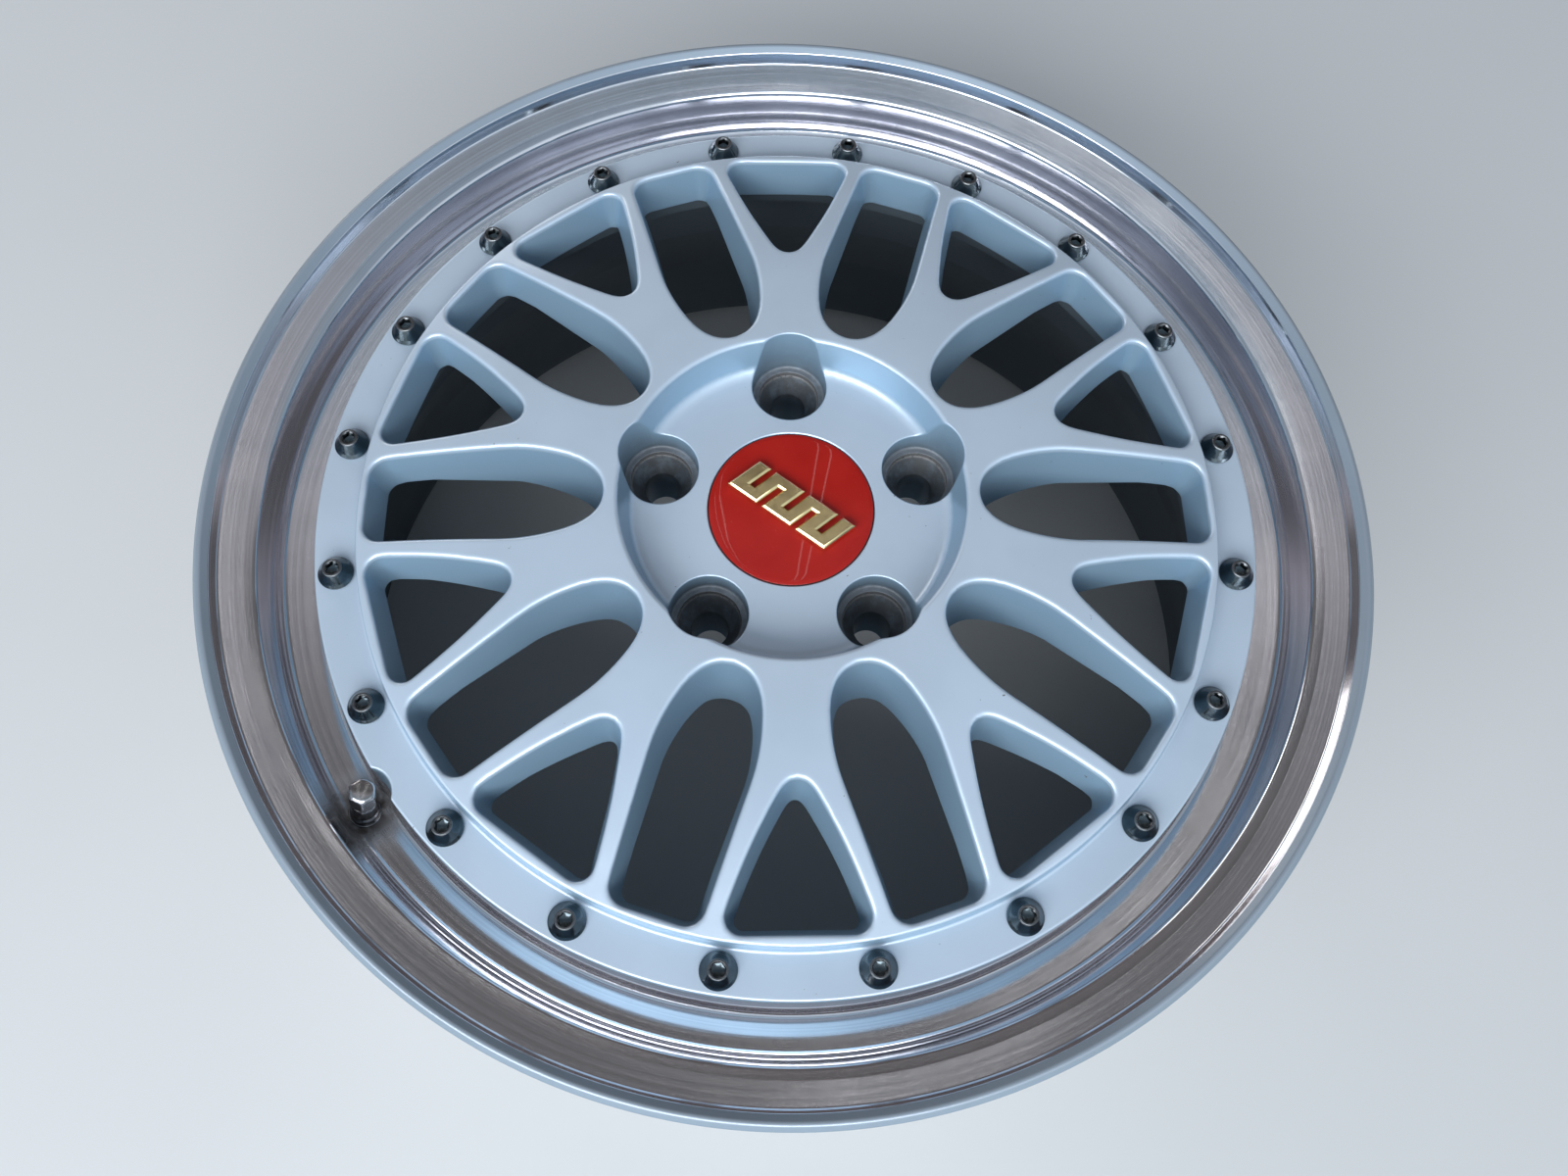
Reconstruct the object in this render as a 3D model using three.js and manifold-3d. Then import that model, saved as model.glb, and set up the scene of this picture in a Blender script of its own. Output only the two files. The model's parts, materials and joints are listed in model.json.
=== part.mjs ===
// A two-piece forged wheel, 7 inches wide and 17 inches across the bead seats. A forged disc with ten
// Y-spokes is bolted by twenty bolts and lock nuts to a one-piece rim with a stepped lip.
// Millimetres. +Z is the wheel's axis and points out of its street-side face. The origin is the middle of
// the rim's width on that axis. A lug hole and a Y-spoke lie on +Y.

import * as THREE from "three";
import { mergeVertices } from "three/addons/utils/BufferGeometryUtils.js";
import Module from "manifold-3d";

const wasm = await Module();
wasm.setup();

// ---- driving dimensions ----

const INCH = 25.4;
const GAP = 0.3; // between pieces that touch
const ROUND = 40; // facets of the rim and the disc, with corners on both axes

const HALF_RIM = (7 * INCH) / 2; // rim centre plane to the inside of a bead flange
const FLANGE_DEPTH = 12.1; // how far a bead flange reaches outside that
const FACE_Z = HALF_RIM + FLANGE_DEPTH;
const BEAD_R = 218.3; // 17 inch bead seat
const FLANGE_R = 235.6; // outermost edge
const WELL_R = 197.5; // drop centre, tyre side
const WALL = 4.7; // barrel wall

const OFFSET = 42; // rim centre plane to the hub pad
const LUG_COUNT = 5;
const LUG_CIRCLE_R = 57.15; // 114.3 lug circle
const LUG_POCKET_R = 15.9;
const LUG_SEAT_R = 13;
const LUG_HOLE_R = 7.7;
const HUB_BORE_R = 41;
const SPIGOT_R = 33.55; // the car's spigot fits the centring ring with this radius

const SPOKE_PITCH = 36; // degrees between Y-spokes, and between windows of one kind
const DISC_R = 193.6;
const SEAT_Z = 74.6; // the disc's flange rests here on the rim
const DISC_FLANGE_Z = 84.9; // front of the disc's flange
const SPOKE_RING_R = 175.7; // raised ring that the spoke arms run into
const CROWN_Z = 103.2; // highest part of the spokes
const CROWN_START_R = 76;
const CROWN_DROP = 10.6; // from there down to the raised ring
const CROWN_POWER = 2.1;
const RECESS_TOP_R = 70.3;
const RECESS_FLOOR_R = 66;
const RECESS_Z = 86.6;

const BOLT_COUNT = 20;
const BOLT_PITCH = 360 / BOLT_COUNT;
const BOLT_START = 99; // degrees from +X
const BOLT_CIRCLE_R = 184.8;
const BOLT_R = 3.5; // M7
const BOLT_HOLE_R = BOLT_R + GAP;
const RIM_FLANGE_Z = 64.6; // back of the rim's mounting flange
const RIM_FLANGE_R = 172;

const CAP_R = 34.35;
const EMBLEM_TURN = -37;
const EMBLEM_LENGTH = 49;
const EMBLEM_SLOT_PITCH = 8.53;
const EMBLEM_LEAN = 0.27;
const VALVE_R = 206;
const VALVE_ANGLE = 216;
const VALVE_Z = 65.5;
const VALVE_TILT = 15; // towards the wheel's axis
const VALVE_STEM_R = 4;
const FLOOR_WALL = 5; // the rim's wall at the valve

// ---- colours ----

const finish = (color, roughness, metalness) =>
  new THREE.MeshStandardMaterial({ color, roughness, metalness });
const POLISHED = finish(0xc9c6c8, 0.22, 1);
const SILVER_PAINT = finish(0xaebdd0, 0.42, 0.55);
const BLACK_CHROME = finish(0x23282c, 0.18, 1);
const ZINC = finish(0x8f9294, 0.4, 1);
const CHROME = finish(0xb9bcbf, 0.1, 1);
const BRASS = finish(0xb59a58, 0.35, 1);
const RED = finish(0xa51c1f, 0.08, 0);
const GOLD = finish(0xcaa85a, 0.2, 1);
const BLACK_PLASTIC = finish(0x1d1e20, 0.5, 0);
const GREY_PLASTIC = finish(0x5a5d61, 0.5, 0);
const SPRING_STEEL = finish(0x9a9da0, 0.3, 1);
const RUBBER = finish(0x1a1a1b, 0.8, 0);

// ---- tools for solids ----

const radians = THREE.MathUtils.degToRad;

// A closed geometry as a solid.
function solid(geometry) {
  const open = geometry.clone();
  open.deleteAttribute("normal");
  open.deleteAttribute("uv");
  const merged = mergeVertices(open, 1e-4);
  const index = merged.index.array;
  const kept = [];
  for (let i = 0; i < index.length; i += 3) {
    const [a, b, c] = index.slice(i, i + 3);
    if (a !== b && b !== c && c !== a) kept.push(a, b, c);
  }
  const vertProperties = merged.attributes.position.array;
  const triVerts = new Uint32Array(kept);
  return new wasm.Manifold(new wasm.Mesh({ numProp: 3, vertProperties, triVerts }));
}

// A solid's surface as a geometry.
function geometryOf(shape) {
  const { vertProperties, triVerts } = shape.getMesh();
  const geometry = new THREE.BufferGeometry();
  geometry.setAttribute("position", new THREE.BufferAttribute(vertProperties, 3));
  geometry.setIndex(new THREE.BufferAttribute(triVerts, 1));
  return geometry;
}

// A solid turned about +Z. The profile lists [radius, z], outer side upwards, as a ring that closes on
// itself, or from the axis back to the axis.
function turned(profile, segments) {
  const onAxis = profile[0][0] === 0;
  const points = profile.map(([r, z]) => new THREE.Vector2(r, z));
  if (!onAxis) points.push(points[0].clone());
  const geometry = new THREE.LatheGeometry(points, segments);
  return solid(geometry.rotateX(Math.PI / 2));
}

// A flat outline between two heights.
function prism(outline, low, high, curveSegments = 4) {
  const geometry = new THREE.ExtrudeGeometry(outline, {
    depth: high - low,
    bevelEnabled: false,
    curveSegments,
  });
  return solid(geometry.translate(0, 0, low));
}

function onCircle(radius, degrees, z = 0) {
  const a = radians(degrees);
  return [radius * Math.cos(a), radius * Math.sin(a), z];
}

// The cutter, cut from the shape once at each angle.
function cutAround(shape, cutter, angles) {
  return angles.reduce((left, angle) => left.subtract(cutter.rotate([0, 0, angle])), shape);
}

const anglesFrom = (start, pitch, count) => Array.from({ length: count }, (_, i) => start + pitch * i);
const BOLT_ANGLES = anglesFrom(BOLT_START, BOLT_PITCH, BOLT_COUNT);
const LUG_ANGLES = anglesFrom(90, 360 / LUG_COUNT, LUG_COUNT);

// ---- the valve's own frame: its origin is on the rim's floor, its +Z runs out along the stem ----

const valveFrame = new THREE.Group();
valveFrame.position.set(...onCircle(VALVE_R, VALVE_ANGLE, VALVE_Z));
valveFrame.rotation.set(0, radians(-VALVE_TILT), radians(VALVE_ANGLE), "ZYX");
valveFrame.updateMatrix();

function inValveFrame(profile, segments) {
  const points = profile.map(([r, z]) => new THREE.Vector2(r, z));
  if (profile[0][0] !== 0) points.push(points[0].clone());
  const geometry = new THREE.LatheGeometry(points, segments).rotateX(Math.PI / 2);
  return solid(geometry.applyMatrix4(valveFrame.matrix));
}

// ---- rim ----

function rimBarrel() {
  const slope = Math.tan(radians(VALVE_TILT));
  const floor = (r) => VALVE_Z + (r - VALVE_R) * slope;
  const under = (r) => floor(r) - FLOOR_WALL / Math.cos(radians(VALVE_TILT));
  const seatTop = SEAT_Z - GAP;
  const inside = WELL_R - WALL;
  const shape = turned(
    [
      // tyre side, from the rear flange to the front flange
      [FLANGE_R - 3.4, -FACE_Z],
      [FLANGE_R - 1.8, -FACE_Z],
      [FLANGE_R, 2.6 - FACE_Z],
      [FLANGE_R, 5.5 - FACE_Z],
      [FLANGE_R - 6, -HALF_RIM],
      [FLANGE_R - 13, -HALF_RIM],
      [BEAD_R, -HALF_RIM + 6],
      [BEAD_R - 1.6, -HALF_RIM + 26],
      [BEAD_R - 5.5, -HALF_RIM + 60],
      [WELL_R + 4, 6],
      [WELL_R, 20],
      [WELL_R, 56],
      [WELL_R + 2, under(WELL_R + 2)],
      [BEAD_R - 3, under(BEAD_R - 3)],
      [BEAD_R - 1.1, HALF_RIM - 20],
      [BEAD_R, HALF_RIM - 6],
      [FLANGE_R - 13, HALF_RIM],
      [FLANGE_R - 6, HALF_RIM],
      [FLANGE_R, FACE_Z - 5.5],
      [FLANGE_R, FACE_Z - 3],
      [FLANGE_R - 2.6, FACE_Z],
      // street side: painted edge, polished land, stepped lip and its floor
      [FLANGE_R - 6, FACE_Z - 2.8],
      [FLANGE_R - 7, FACE_Z - 8.4],
      [219.5, FACE_Z - 10.8],
      [215, FACE_Z - 12.4],
      [213.2, 71],
      [211.5, floor(211.5)],
      [196.5, floor(196.5)],
      [DISC_R, seatTop],
      // mounting flange and the inside of the barrel
      [RIM_FLANGE_R, seatTop],
      [RIM_FLANGE_R, RIM_FLANGE_Z],
      [inside, RIM_FLANGE_Z],
      [inside, 18],
      [WELL_R - 1, 4],
      [BEAD_R - 10, -HALF_RIM + 60],
      [BEAD_R - 6, -HALF_RIM + 26],
      [BEAD_R - 4.5, -HALF_RIM + 3],
      [FLANGE_R - 10, 6 - FACE_Z],
      [FLANGE_R - 6.4, 1.6 - FACE_Z],
    ],
    ROUND,
  );
  const boltHole = turned(tube(0, BOLT_HOLE_R, 50, 80), 8).translate(onCircle(BOLT_CIRCLE_R, 0));
  const valveHole = inValveFrame(tube(0, VALVE_STEM_R + GAP, -12, 8), 12);
  return cutAround(shape, boltHole, BOLT_ANGLES).subtract(valveHole).subtract(valveScoop());
}

// The [radius, z] profile of a plain cylinder or tube.
function tube(inner, outer, low, high) {
  return [
    [inner, low],
    [outer, low],
    [outer, high],
    [inner, high],
  ];
}

// Room for the valve, cut into the edge of the disc and the step under it.
function valveScoop() {
  return inValveFrame(tube(0, 10.3, 0.05, 60), 16);
}

// ---- disc ----

const crown = (r) => CROWN_Z - CROWN_DROP * (Math.max(r - CROWN_START_R, 0) / 98) ** CROWN_POWER;

// Half of a window's outline, drawn along +X from its outer end to its inner tip, then mirrored.
function symmetric(outerX, draw) {
  const half = new THREE.Path();
  half.moveTo(outerX, 0);
  draw(half);
  const points = half.getPoints(3).filter((p, i, all) => i === 0 || p.distanceTo(all[i - 1]) > 0.01);
  const mirrored = points.slice(1, -1).reverse();
  return new THREE.Shape([...points, ...mirrored.map((p) => new THREE.Vector2(p.x, -p.y))]);
}

// Between neighbouring Y-spokes: straight outer end, nearly parallel sides and a blunt inner tip.
function wideWindow() {
  return symmetric(172.2, (half) => {
    half.lineTo(172.2, 11.9);
    half.quadraticCurveTo(172.2, 18.1, 166, 18.2);
    half.lineTo(115, 20);
    half.bezierCurveTo(104, 20, 94, 17.4, 88, 15);
    half.bezierCurveTo(80.5, 11.8, 75.8, 7, 75.8, 0);
  });
}

// Between the two arms of one Y-spoke: a triangle with its rounded tip inwards.
function forkWindow() {
  return symmetric(171, (half) => {
    half.lineTo(171, 22.5);
    half.quadraticCurveTo(171, 29.5, 164, 27.4);
    half.bezierCurveTo(152, 22.9, 140, 18, 128, 11.4);
    half.bezierCurveTo(121, 7.6, 114.8, 5.4, 114.8, 0);
  });
}

function lugPocket() {
  const profile = [
    [0, OFFSET - 5],
    [LUG_HOLE_R, OFFSET - 5],
    [LUG_HOLE_R, 66.5],
    [LUG_SEAT_R, 74],
    [LUG_SEAT_R, 76.5],
    [LUG_POCKET_R, 76.5],
    [LUG_POCKET_R, CROWN_Z + 10],
    [0, CROWN_Z + 10],
  ];
  return turned(profile, 20).translate(onCircle(LUG_CIRCLE_R, 0));
}

function wheelDisc() {
  const shape = turned(
    [
      // back: hub pad, hub cone, underside of the spokes, spigot and bolting flange
      [HUB_BORE_R, OFFSET],
      [74, OFFSET],
      [80, 48],
      [112, 62],
      [168, 71],
      [RIM_FLANGE_R - GAP, 72.4],
      [RIM_FLANGE_R - GAP, SEAT_Z],
      [DISC_R, SEAT_Z],
      // front: bolting flange, raised ring, crown of the spokes, hub recess
      [DISC_R, DISC_FLANGE_Z],
      [SPOKE_RING_R, DISC_FLANGE_Z],
      [SPOKE_RING_R, crown(174)],
      [145, crown(145)],
      [115, crown(115)],
      [RECESS_TOP_R, CROWN_Z],
      [RECESS_FLOOR_R, RECESS_Z],
      // bore for the centre cap, open to the hub bore
      [CAP_R + GAP, RECESS_Z],
      [CAP_R + GAP, RECESS_Z - 4.4],
      [31.5, RECESS_Z - 4.4],
      [31.5, 74],
      [HUB_BORE_R, 68],
    ],
    ROUND,
  );
  const wide = prism(wideWindow(), OFFSET - 10, CROWN_Z + 10);
  const fork = prism(forkWindow(), OFFSET - 10, CROWN_Z + 10);
  const boltHole = turned(tube(0, BOLT_HOLE_R, 70, 95), 8).translate(onCircle(BOLT_CIRCLE_R, 0));
  const forks = cutAround(shape, fork, anglesFrom(90, SPOKE_PITCH, 10));
  const windows = cutAround(forks, wide, anglesFrom(90 + SPOKE_PITCH / 2, SPOKE_PITCH, 10));
  const drilled = cutAround(windows, boltHole, BOLT_ANGLES);
  return cutAround(drilled, lugPocket(), LUG_ANGLES).subtract(valveScoop());
}

// ---- assembly bolts and nuts ----

// Bell-shaped head with a socket in front, shank through both flanges.
function flangeBolt() {
  const seat = DISC_FLANGE_Z + GAP;
  return turned(
    [
      [0, 55.5],
      [BOLT_R, 55.5],
      [BOLT_R, seat],
      [7.2, seat],
      [7.2, seat + 1],
      [3.65, seat + 6.5],
      [2.6, seat + 6.5],
      [2.6, seat + 2.8],
      [0, seat + 2.8],
    ],
    8,
  );
}

// Hexagon with a round collar against the rim's flange.
function lockNut() {
  const top = RIM_FLANGE_Z - GAP;
  const hexagon = turned(tube(0, 6.1, top - 7.3, top - 1.5), 6);
  const collar = turned(tube(0, 6.9, top - 1.8, top), 8);
  return hexagon.add(collar).subtract(turned(tube(0, BOLT_HOLE_R, 50, 70), 8));
}

// ---- centre cap ----

function capBody() {
  const plate = RECESS_Z - 3.4;
  const top = RECESS_Z - 0.2;
  const ring = turned(
    [
      [27, 70],
      [30, 70],
      [31, 72.4],
      [30, 75.5],
      [30, RECESS_Z - 4.1],
      [CAP_R, RECESS_Z - 4.1],
      [CAP_R, top],
      [CAP_R - 1.1, top],
      [CAP_R - 1.1, plate + 1],
      [0, plate + 1],
      [0, plate - 1],
      [27, plate - 1],
    ],
    36,
  );
  const slot = prism(rectangle(22, 40, -3, 3), 60, RECESS_Z - 6);
  return cutAround(ring, slot, anglesFrom(0, 60, 6));
}

function rectangle(x0, x1, y0, y1) {
  const outline = new THREE.Shape();
  outline.moveTo(x0, y0);
  outline.lineTo(x1, y0);
  outline.lineTo(x1, y1);
  outline.lineTo(x0, y1);
  return outline;
}

function capFace() {
  const low = RECESS_Z - 2.1;
  return turned(
    [
      [0, low],
      [CAP_R - 1.4, low],
      [CAP_R - 1.4, RECESS_Z - 0.3],
      [CAP_R - 2.6, RECESS_Z],
      [0, RECESS_Z + 0.5],
    ],
    36,
  );
}

// A generic raised sign: a slanted block with slots cut in from its long sides in turn.
function capEmblem() {
  const low = RECESS_Z + 0.8;
  const high = low + 3.2;
  const block = prism(slantedBar(0, EMBLEM_LENGTH, -8.2, 8.2), low, high);
  const slots = [-2, -1, 0, 1, 2].map((k) => {
    const [bottom, top] = k % 2 ? [-9, 2.8] : [-2.8, 9];
    return prism(slantedBar(k * EMBLEM_SLOT_PITCH, 2.2, bottom, top), low - 1, high + 1);
  });
  return slots.reduce((all, one) => all.subtract(one), block).rotate([0, 0, EMBLEM_TURN]);
}

// Leans to the right as it rises.
function slantedBar(x, width, bottom, top) {
  const corner = (side, y) => new THREE.Vector2(x + (side * width) / 2 + EMBLEM_LEAN * y, y);
  return new THREE.Shape([corner(-1, bottom), corner(1, bottom), corner(1, top), corner(-1, top)]);
}

// The section of a round wire bent into a ring.
const ringProfile = (radius, z, wire) =>
  anglesFrom(0, 72, 5).map((a) => [
    radius + wire * Math.cos(radians(a)),
    z + wire * Math.sin(radians(a)),
  ]);

// ---- hub ----

function centringRing() {
  return turned(
    [
      [SPIGOT_R, OFFSET + 2],
      [SPIGOT_R + 1.5, OFFSET + 0.5],
      [HUB_BORE_R - GAP, OFFSET + 0.5],
      [HUB_BORE_R - GAP, OFFSET + 15],
      [SPIGOT_R, OFFSET + 15],
    ],
    ROUND,
  );
}

// ---- valve, in its own frame ----

const VALVE_TOP = 23; // end of the stem's thread
const CORE_R = 2.2;
const PIN_R = 0.7;

function valveStem() {
  return turned(
    [
      [1.6, -11.6],
      [6, -11.6],
      [7, -10.6],
      [7, -8.6],
      [VALVE_STEM_R, -8.6],
      [VALVE_STEM_R, 14],
      [3.75, 14.4],
      [3.75, VALVE_TOP],
      [CORE_R + GAP, VALVE_TOP],
      [CORE_R + GAP, 1],
      [1.6, 0],
    ],
    12,
  );
}

function valveNut() {
  const inner = VALVE_STEM_R + GAP;
  return turned(
    [
      [inner, 1.6],
      [5.2, 1.6],
      [5.6, 2.6],
      [5.5, 4],
      [4.9, 5.2],
      [4.9, 13.6],
      [inner, 14],
    ],
    12,
  );
}

function valveCap() {
  const across = 9.4;
  const corner = across / Math.sqrt(3);
  const body = turned(
    [
      [0, 14.6],
      [corner, 14.6],
      [corner, 23.8],
      [corner - 1.2, 25],
      [0, 25],
    ],
    6,
  );
  return body.subtract(turned(tube(0, 3.75 + GAP, 10, VALVE_TOP + 1), 12));
}

function coreBody() {
  return turned(
    [
      [PIN_R + GAP, 5],
      [CORE_R, 5],
      [CORE_R, 21],
      [1.7, 21],
      [1.7, 6],
      [PIN_R + GAP, 6],
    ],
    12,
  );
}

// Sealing cup below the core, collar on the spring, and the tip that is pressed to let air through.
function corePin() {
  return turned(
    [
      [0, 3.2],
      [1.9, 3.2],
      [1.9, 4.6],
      [PIN_R, 4.6],
      [PIN_R, 12.7],
      [1.4, 12.7],
      [1.4, 13.3],
      [PIN_R, 13.3],
      [PIN_R, 22.6],
      [0, 22.6],
    ],
    10,
  );
}

class Helix extends THREE.Curve {
  constructor(radius, low, high, turns) {
    super();
    Object.assign(this, { radius, low, high, turns });
  }
  getPoint(t) {
    const a = 2 * Math.PI * this.turns * t;
    const z = THREE.MathUtils.lerp(this.low, this.high, t);
    return new THREE.Vector3(this.radius * Math.cos(a), this.radius * Math.sin(a), z);
  }
}

function coreSpring() {
  const turns = 3;
  const wire = new THREE.Shape().absarc(0, 0, 0.18, 0, 2 * Math.PI, false);
  const path = new Helix(1.25, 6.5, 12.3, turns);
  const settings = { steps: turns * 8, extrudePath: path, bevelEnabled: false, curveSegments: 2 };
  return solid(new THREE.ExtrudeGeometry(wire, settings));
}

// ---- assembly ----

const wheel = new THREE.Group();

function place(parent, name, shape, material) {
  const mesh = new THREE.Mesh(geometryOf(shape), material);
  mesh.name = name;
  parent.add(mesh);
  return mesh;
}

place(wheel, "rim_barrel", rimBarrel(), POLISHED);
place(wheel, "wheel_disc", wheelDisc(), SILVER_PAINT);

BOLT_ANGLES.forEach((angle, i) => {
  const number = String(i + 1).padStart(2, "0");
  const spot = onCircle(BOLT_CIRCLE_R, angle);
  for (const fastener of [
    place(wheel, `flange_bolt_${number}`, flangeBolt(), BLACK_CHROME),
    place(wheel, `lock_nut_${number}`, lockNut(), ZINC),
  ]) {
    fastener.position.set(...spot);
    fastener.rotation.z = radians(angle);
  }
});

place(wheel, "centre_cap_body", capBody(), BLACK_PLASTIC);
place(wheel, "centre_cap_face", capFace(), RED);
place(wheel, "centre_cap_emblem", capEmblem(), GOLD);
place(wheel, "centre_cap_spring_ring", turned(ringProfile(26, 78, 0.7), 24), SPRING_STEEL);
place(wheel, "hub_centring_ring", centringRing(), GREY_PLASTIC);
place(wheel, "hub_ring_clip", turned(ringProfile(39.8, OFFSET + 16.3, 0.9), 24), SPRING_STEEL);

place(valveFrame, "valve_stem", valveStem(), BRASS);
place(valveFrame, "valve_seal", turned(tube(VALVE_STEM_R + GAP, 6.6, -8.3, -5.3), 12), RUBBER);
place(valveFrame, "valve_washer", turned(tube(VALVE_STEM_R + GAP, 6.2, GAP, 1.3), 12), CHROME);
place(valveFrame, "valve_nut", valveNut(), CHROME);
place(valveFrame, "valve_core_body", coreBody(), BRASS);
place(valveFrame, "valve_core_spring", coreSpring(), SPRING_STEEL);
place(valveFrame, "valve_core_pin", corePin(), BRASS);
place(valveFrame, "valve_cap", valveCap(), CHROME);
place(valveFrame, "valve_cap_seal", turned(tube(0, 3.6, VALVE_TOP + 0.3, VALVE_TOP + 0.7), 12), RUBBER);
wheel.add(valveFrame);

export default wheel;
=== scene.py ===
import json
import math
import random

import bmesh
import bpy
import numpy as np
from mathutils import Matrix, Vector
from mathutils.geometry import delaunay_2d_cdt
from mathutils.kdtree import KDTree


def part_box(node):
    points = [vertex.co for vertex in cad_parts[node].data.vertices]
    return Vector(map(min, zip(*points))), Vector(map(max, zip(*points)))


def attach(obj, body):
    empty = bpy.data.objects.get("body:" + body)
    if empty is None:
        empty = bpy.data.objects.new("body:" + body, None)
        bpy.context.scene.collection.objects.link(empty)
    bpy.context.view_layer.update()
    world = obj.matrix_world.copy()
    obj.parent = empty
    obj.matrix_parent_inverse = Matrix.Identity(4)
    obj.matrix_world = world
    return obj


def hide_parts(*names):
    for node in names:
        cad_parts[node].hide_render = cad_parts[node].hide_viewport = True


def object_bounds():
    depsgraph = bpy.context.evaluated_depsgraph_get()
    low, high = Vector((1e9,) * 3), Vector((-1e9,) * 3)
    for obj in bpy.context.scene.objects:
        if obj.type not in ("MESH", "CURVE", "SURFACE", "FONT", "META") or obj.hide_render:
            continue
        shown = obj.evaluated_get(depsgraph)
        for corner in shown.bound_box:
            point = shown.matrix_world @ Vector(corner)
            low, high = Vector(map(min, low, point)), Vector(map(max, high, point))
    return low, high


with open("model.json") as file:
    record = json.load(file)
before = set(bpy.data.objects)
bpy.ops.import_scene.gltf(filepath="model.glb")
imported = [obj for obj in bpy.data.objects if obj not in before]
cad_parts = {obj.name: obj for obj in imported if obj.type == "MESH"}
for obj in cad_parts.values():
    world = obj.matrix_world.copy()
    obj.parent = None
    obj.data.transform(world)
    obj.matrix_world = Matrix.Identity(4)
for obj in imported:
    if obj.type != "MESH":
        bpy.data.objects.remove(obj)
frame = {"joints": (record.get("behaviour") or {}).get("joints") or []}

# A two-piece wheel lying face up: its skins, finishes, light and camera round the CAD frame.
CAD_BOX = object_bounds()
MM = 0.001
FAR = 1e3  # millimetres, past anything on the wheel
random.seed(7)


# ---- sizes in millimetres ----


def box_mm(node):
    low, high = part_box(node)
    return low / MM, high / MM


def middle_mm(node):
    low, high = box_mm(node)
    return (low + high) / 2


RIM_HIGH = box_mm("rim_barrel")[1]
DISC_LOW, DISC_HIGH = box_mm("wheel_disc")
FACE_Z = RIM_HIGH.z
FLANGE_DEPTH = 12.1
HALF_RIM = FACE_Z - FLANGE_DEPTH
FLANGE_R = RIM_HIGH.x
BEAD_R = 218.3
WELL_R = 197.5
WALL = 4.7

DISC_R = DISC_HIGH.x
PAD_Z = DISC_LOW.z
CROWN_Z = DISC_HIGH.z
CROWN_START_R = 76
CROWN_LENGTH = 98
CROWN_DROP = 10.6
CROWN_POWER = 2.1
SEAT_Z = 74.6
DISC_FLANGE_Z = 84.9
SPOKE_RING_R = 175.7
SPOKE_RING_Z = 92.6
RECESS_TOP_R = 70.3
RECESS_FLOOR_R = 66
RECESS_Z = 86.6
CAP_BORE_R = 34.65
HUB_BORE_R = 41
RIM_FLANGE_R = 172
RIM_FLANGE_BACK_Z = 64.6
# The step between the lip's floor and the disc's seat lies between these radii, above this height.
STEP_R = (190, 197)
STEP_Z = 60
GAP = 0.3

PITCH = 36
WINDOW_FILLET = 1.7
WINDOW_DRAFT = 3.3
WINDOW_BACK_FILLET = 1.0
LUG_R = 57.15
LUG_ANGLES = [90 + 72 * i for i in range(5)]
LUG_POCKET_R = 15.9
LUG_SEAT_R = 13
LUG_HOLE_R = 7.7
POCKET_FILLET = 0.8
STUD_CHAMFER = 0.8

BOLT_NODES = [f"flange_bolt_{i:02d}" for i in range(1, 21)]
NUT_NODES = [f"lock_nut_{i:02d}" for i in range(1, 21)]
BOLT_SPOTS = [middle_mm(node) for node in BOLT_NODES]
BOLT_HOLE_R = 3.8

TURN_JOINT = next(j for j in frame["joints"] if j["name"] == "valve_cap_turn")
VALVE_BASE = Vector(TURN_JOINT["pos_m"]) / MM
VALVE_AXIS = Vector(TURN_JOINT["axis"]).normalized()
VALVE_R = VALVE_BASE.xy.length
VALVE_ANGLE = math.atan2(VALVE_BASE.y, VALVE_BASE.x)
VALVE_TILT = math.acos(VALVE_AXIS.z)
SCOOP_R = 10.3
# Degrees between the directions that follow the scoop's edge, and how many lie on each side of it.
SCOOP_STEP = 0.25
SCOOP_STEPS = 16


# ---- rows of points ----


def rounded(corners, closed=False, step=12):
    """Corners [r, z], [r, z, radius] or [r, z, radius, finish] as points with arcs at the corners that have
    a radius. Gives the points and, for each, the finish of the surface that follows it."""
    points, finishes, finish = [], [], ""
    for i, (r, z, *rest) in enumerate(corners):
        finish = rest[1] if len(rest) > 1 else finish
        here = Vector((r, z))
        arc = [here]
        if rest and rest[0] and (closed or 0 < i < len(corners) - 1):
            before = Vector(corners[i - 1][:2]) - here
            after = Vector(corners[(i + 1) % len(corners)][:2]) - here
            half = before.angle(after) / 2
            reach = min(rest[0] / math.tan(half), 0.48 * before.length, 0.48 * after.length)
            radius = reach * math.tan(half)
            middle = (before.normalized() + after.normalized()).normalized()
            centre = here + middle * (radius / math.sin(half))
            first = here + before.normalized() * reach - centre
            last = here + after.normalized() * reach - centre
            start = math.atan2(first.y, first.x)
            sweep = math.remainder(math.atan2(last.y, last.x) - start, math.tau)
            count = max(2, math.ceil(abs(math.degrees(sweep)) / step))
            angles = [start + sweep * k / count for k in range(count + 1)]
            arc = [centre + radius * Vector((math.cos(a), math.sin(a))) for a in angles]
        points += [tuple(p) for p in arc]
        finishes += [finish] * len(arc)
    return points, finishes


def bezier(*controls, count=8):
    """Points of a Bezier curve of any order, without its first."""
    controls = np.array(controls, float)
    order = len(controls) - 1
    t = np.linspace(0, 1, count + 1)[1:, None]
    terms = [math.comb(order, k) * t**k * (1 - t) ** (order - k) for k in range(order + 1)]
    return sum(term * control for term, control in zip(terms, controls))


def ring(radius, angles):
    return np.stack([radius * np.cos(angles), radius * np.sin(angles)], 1)


def turns(count):
    return np.arange(count) * math.tau / count


def at_height(xy, z):
    return np.column_stack([xy, np.broadcast_to(z, len(xy))])


def circles(profile, angles):
    """A row of points round the axis for each (radius, height)."""
    return [at_height(ring(r, angles), z) for r, z in profile]


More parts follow.
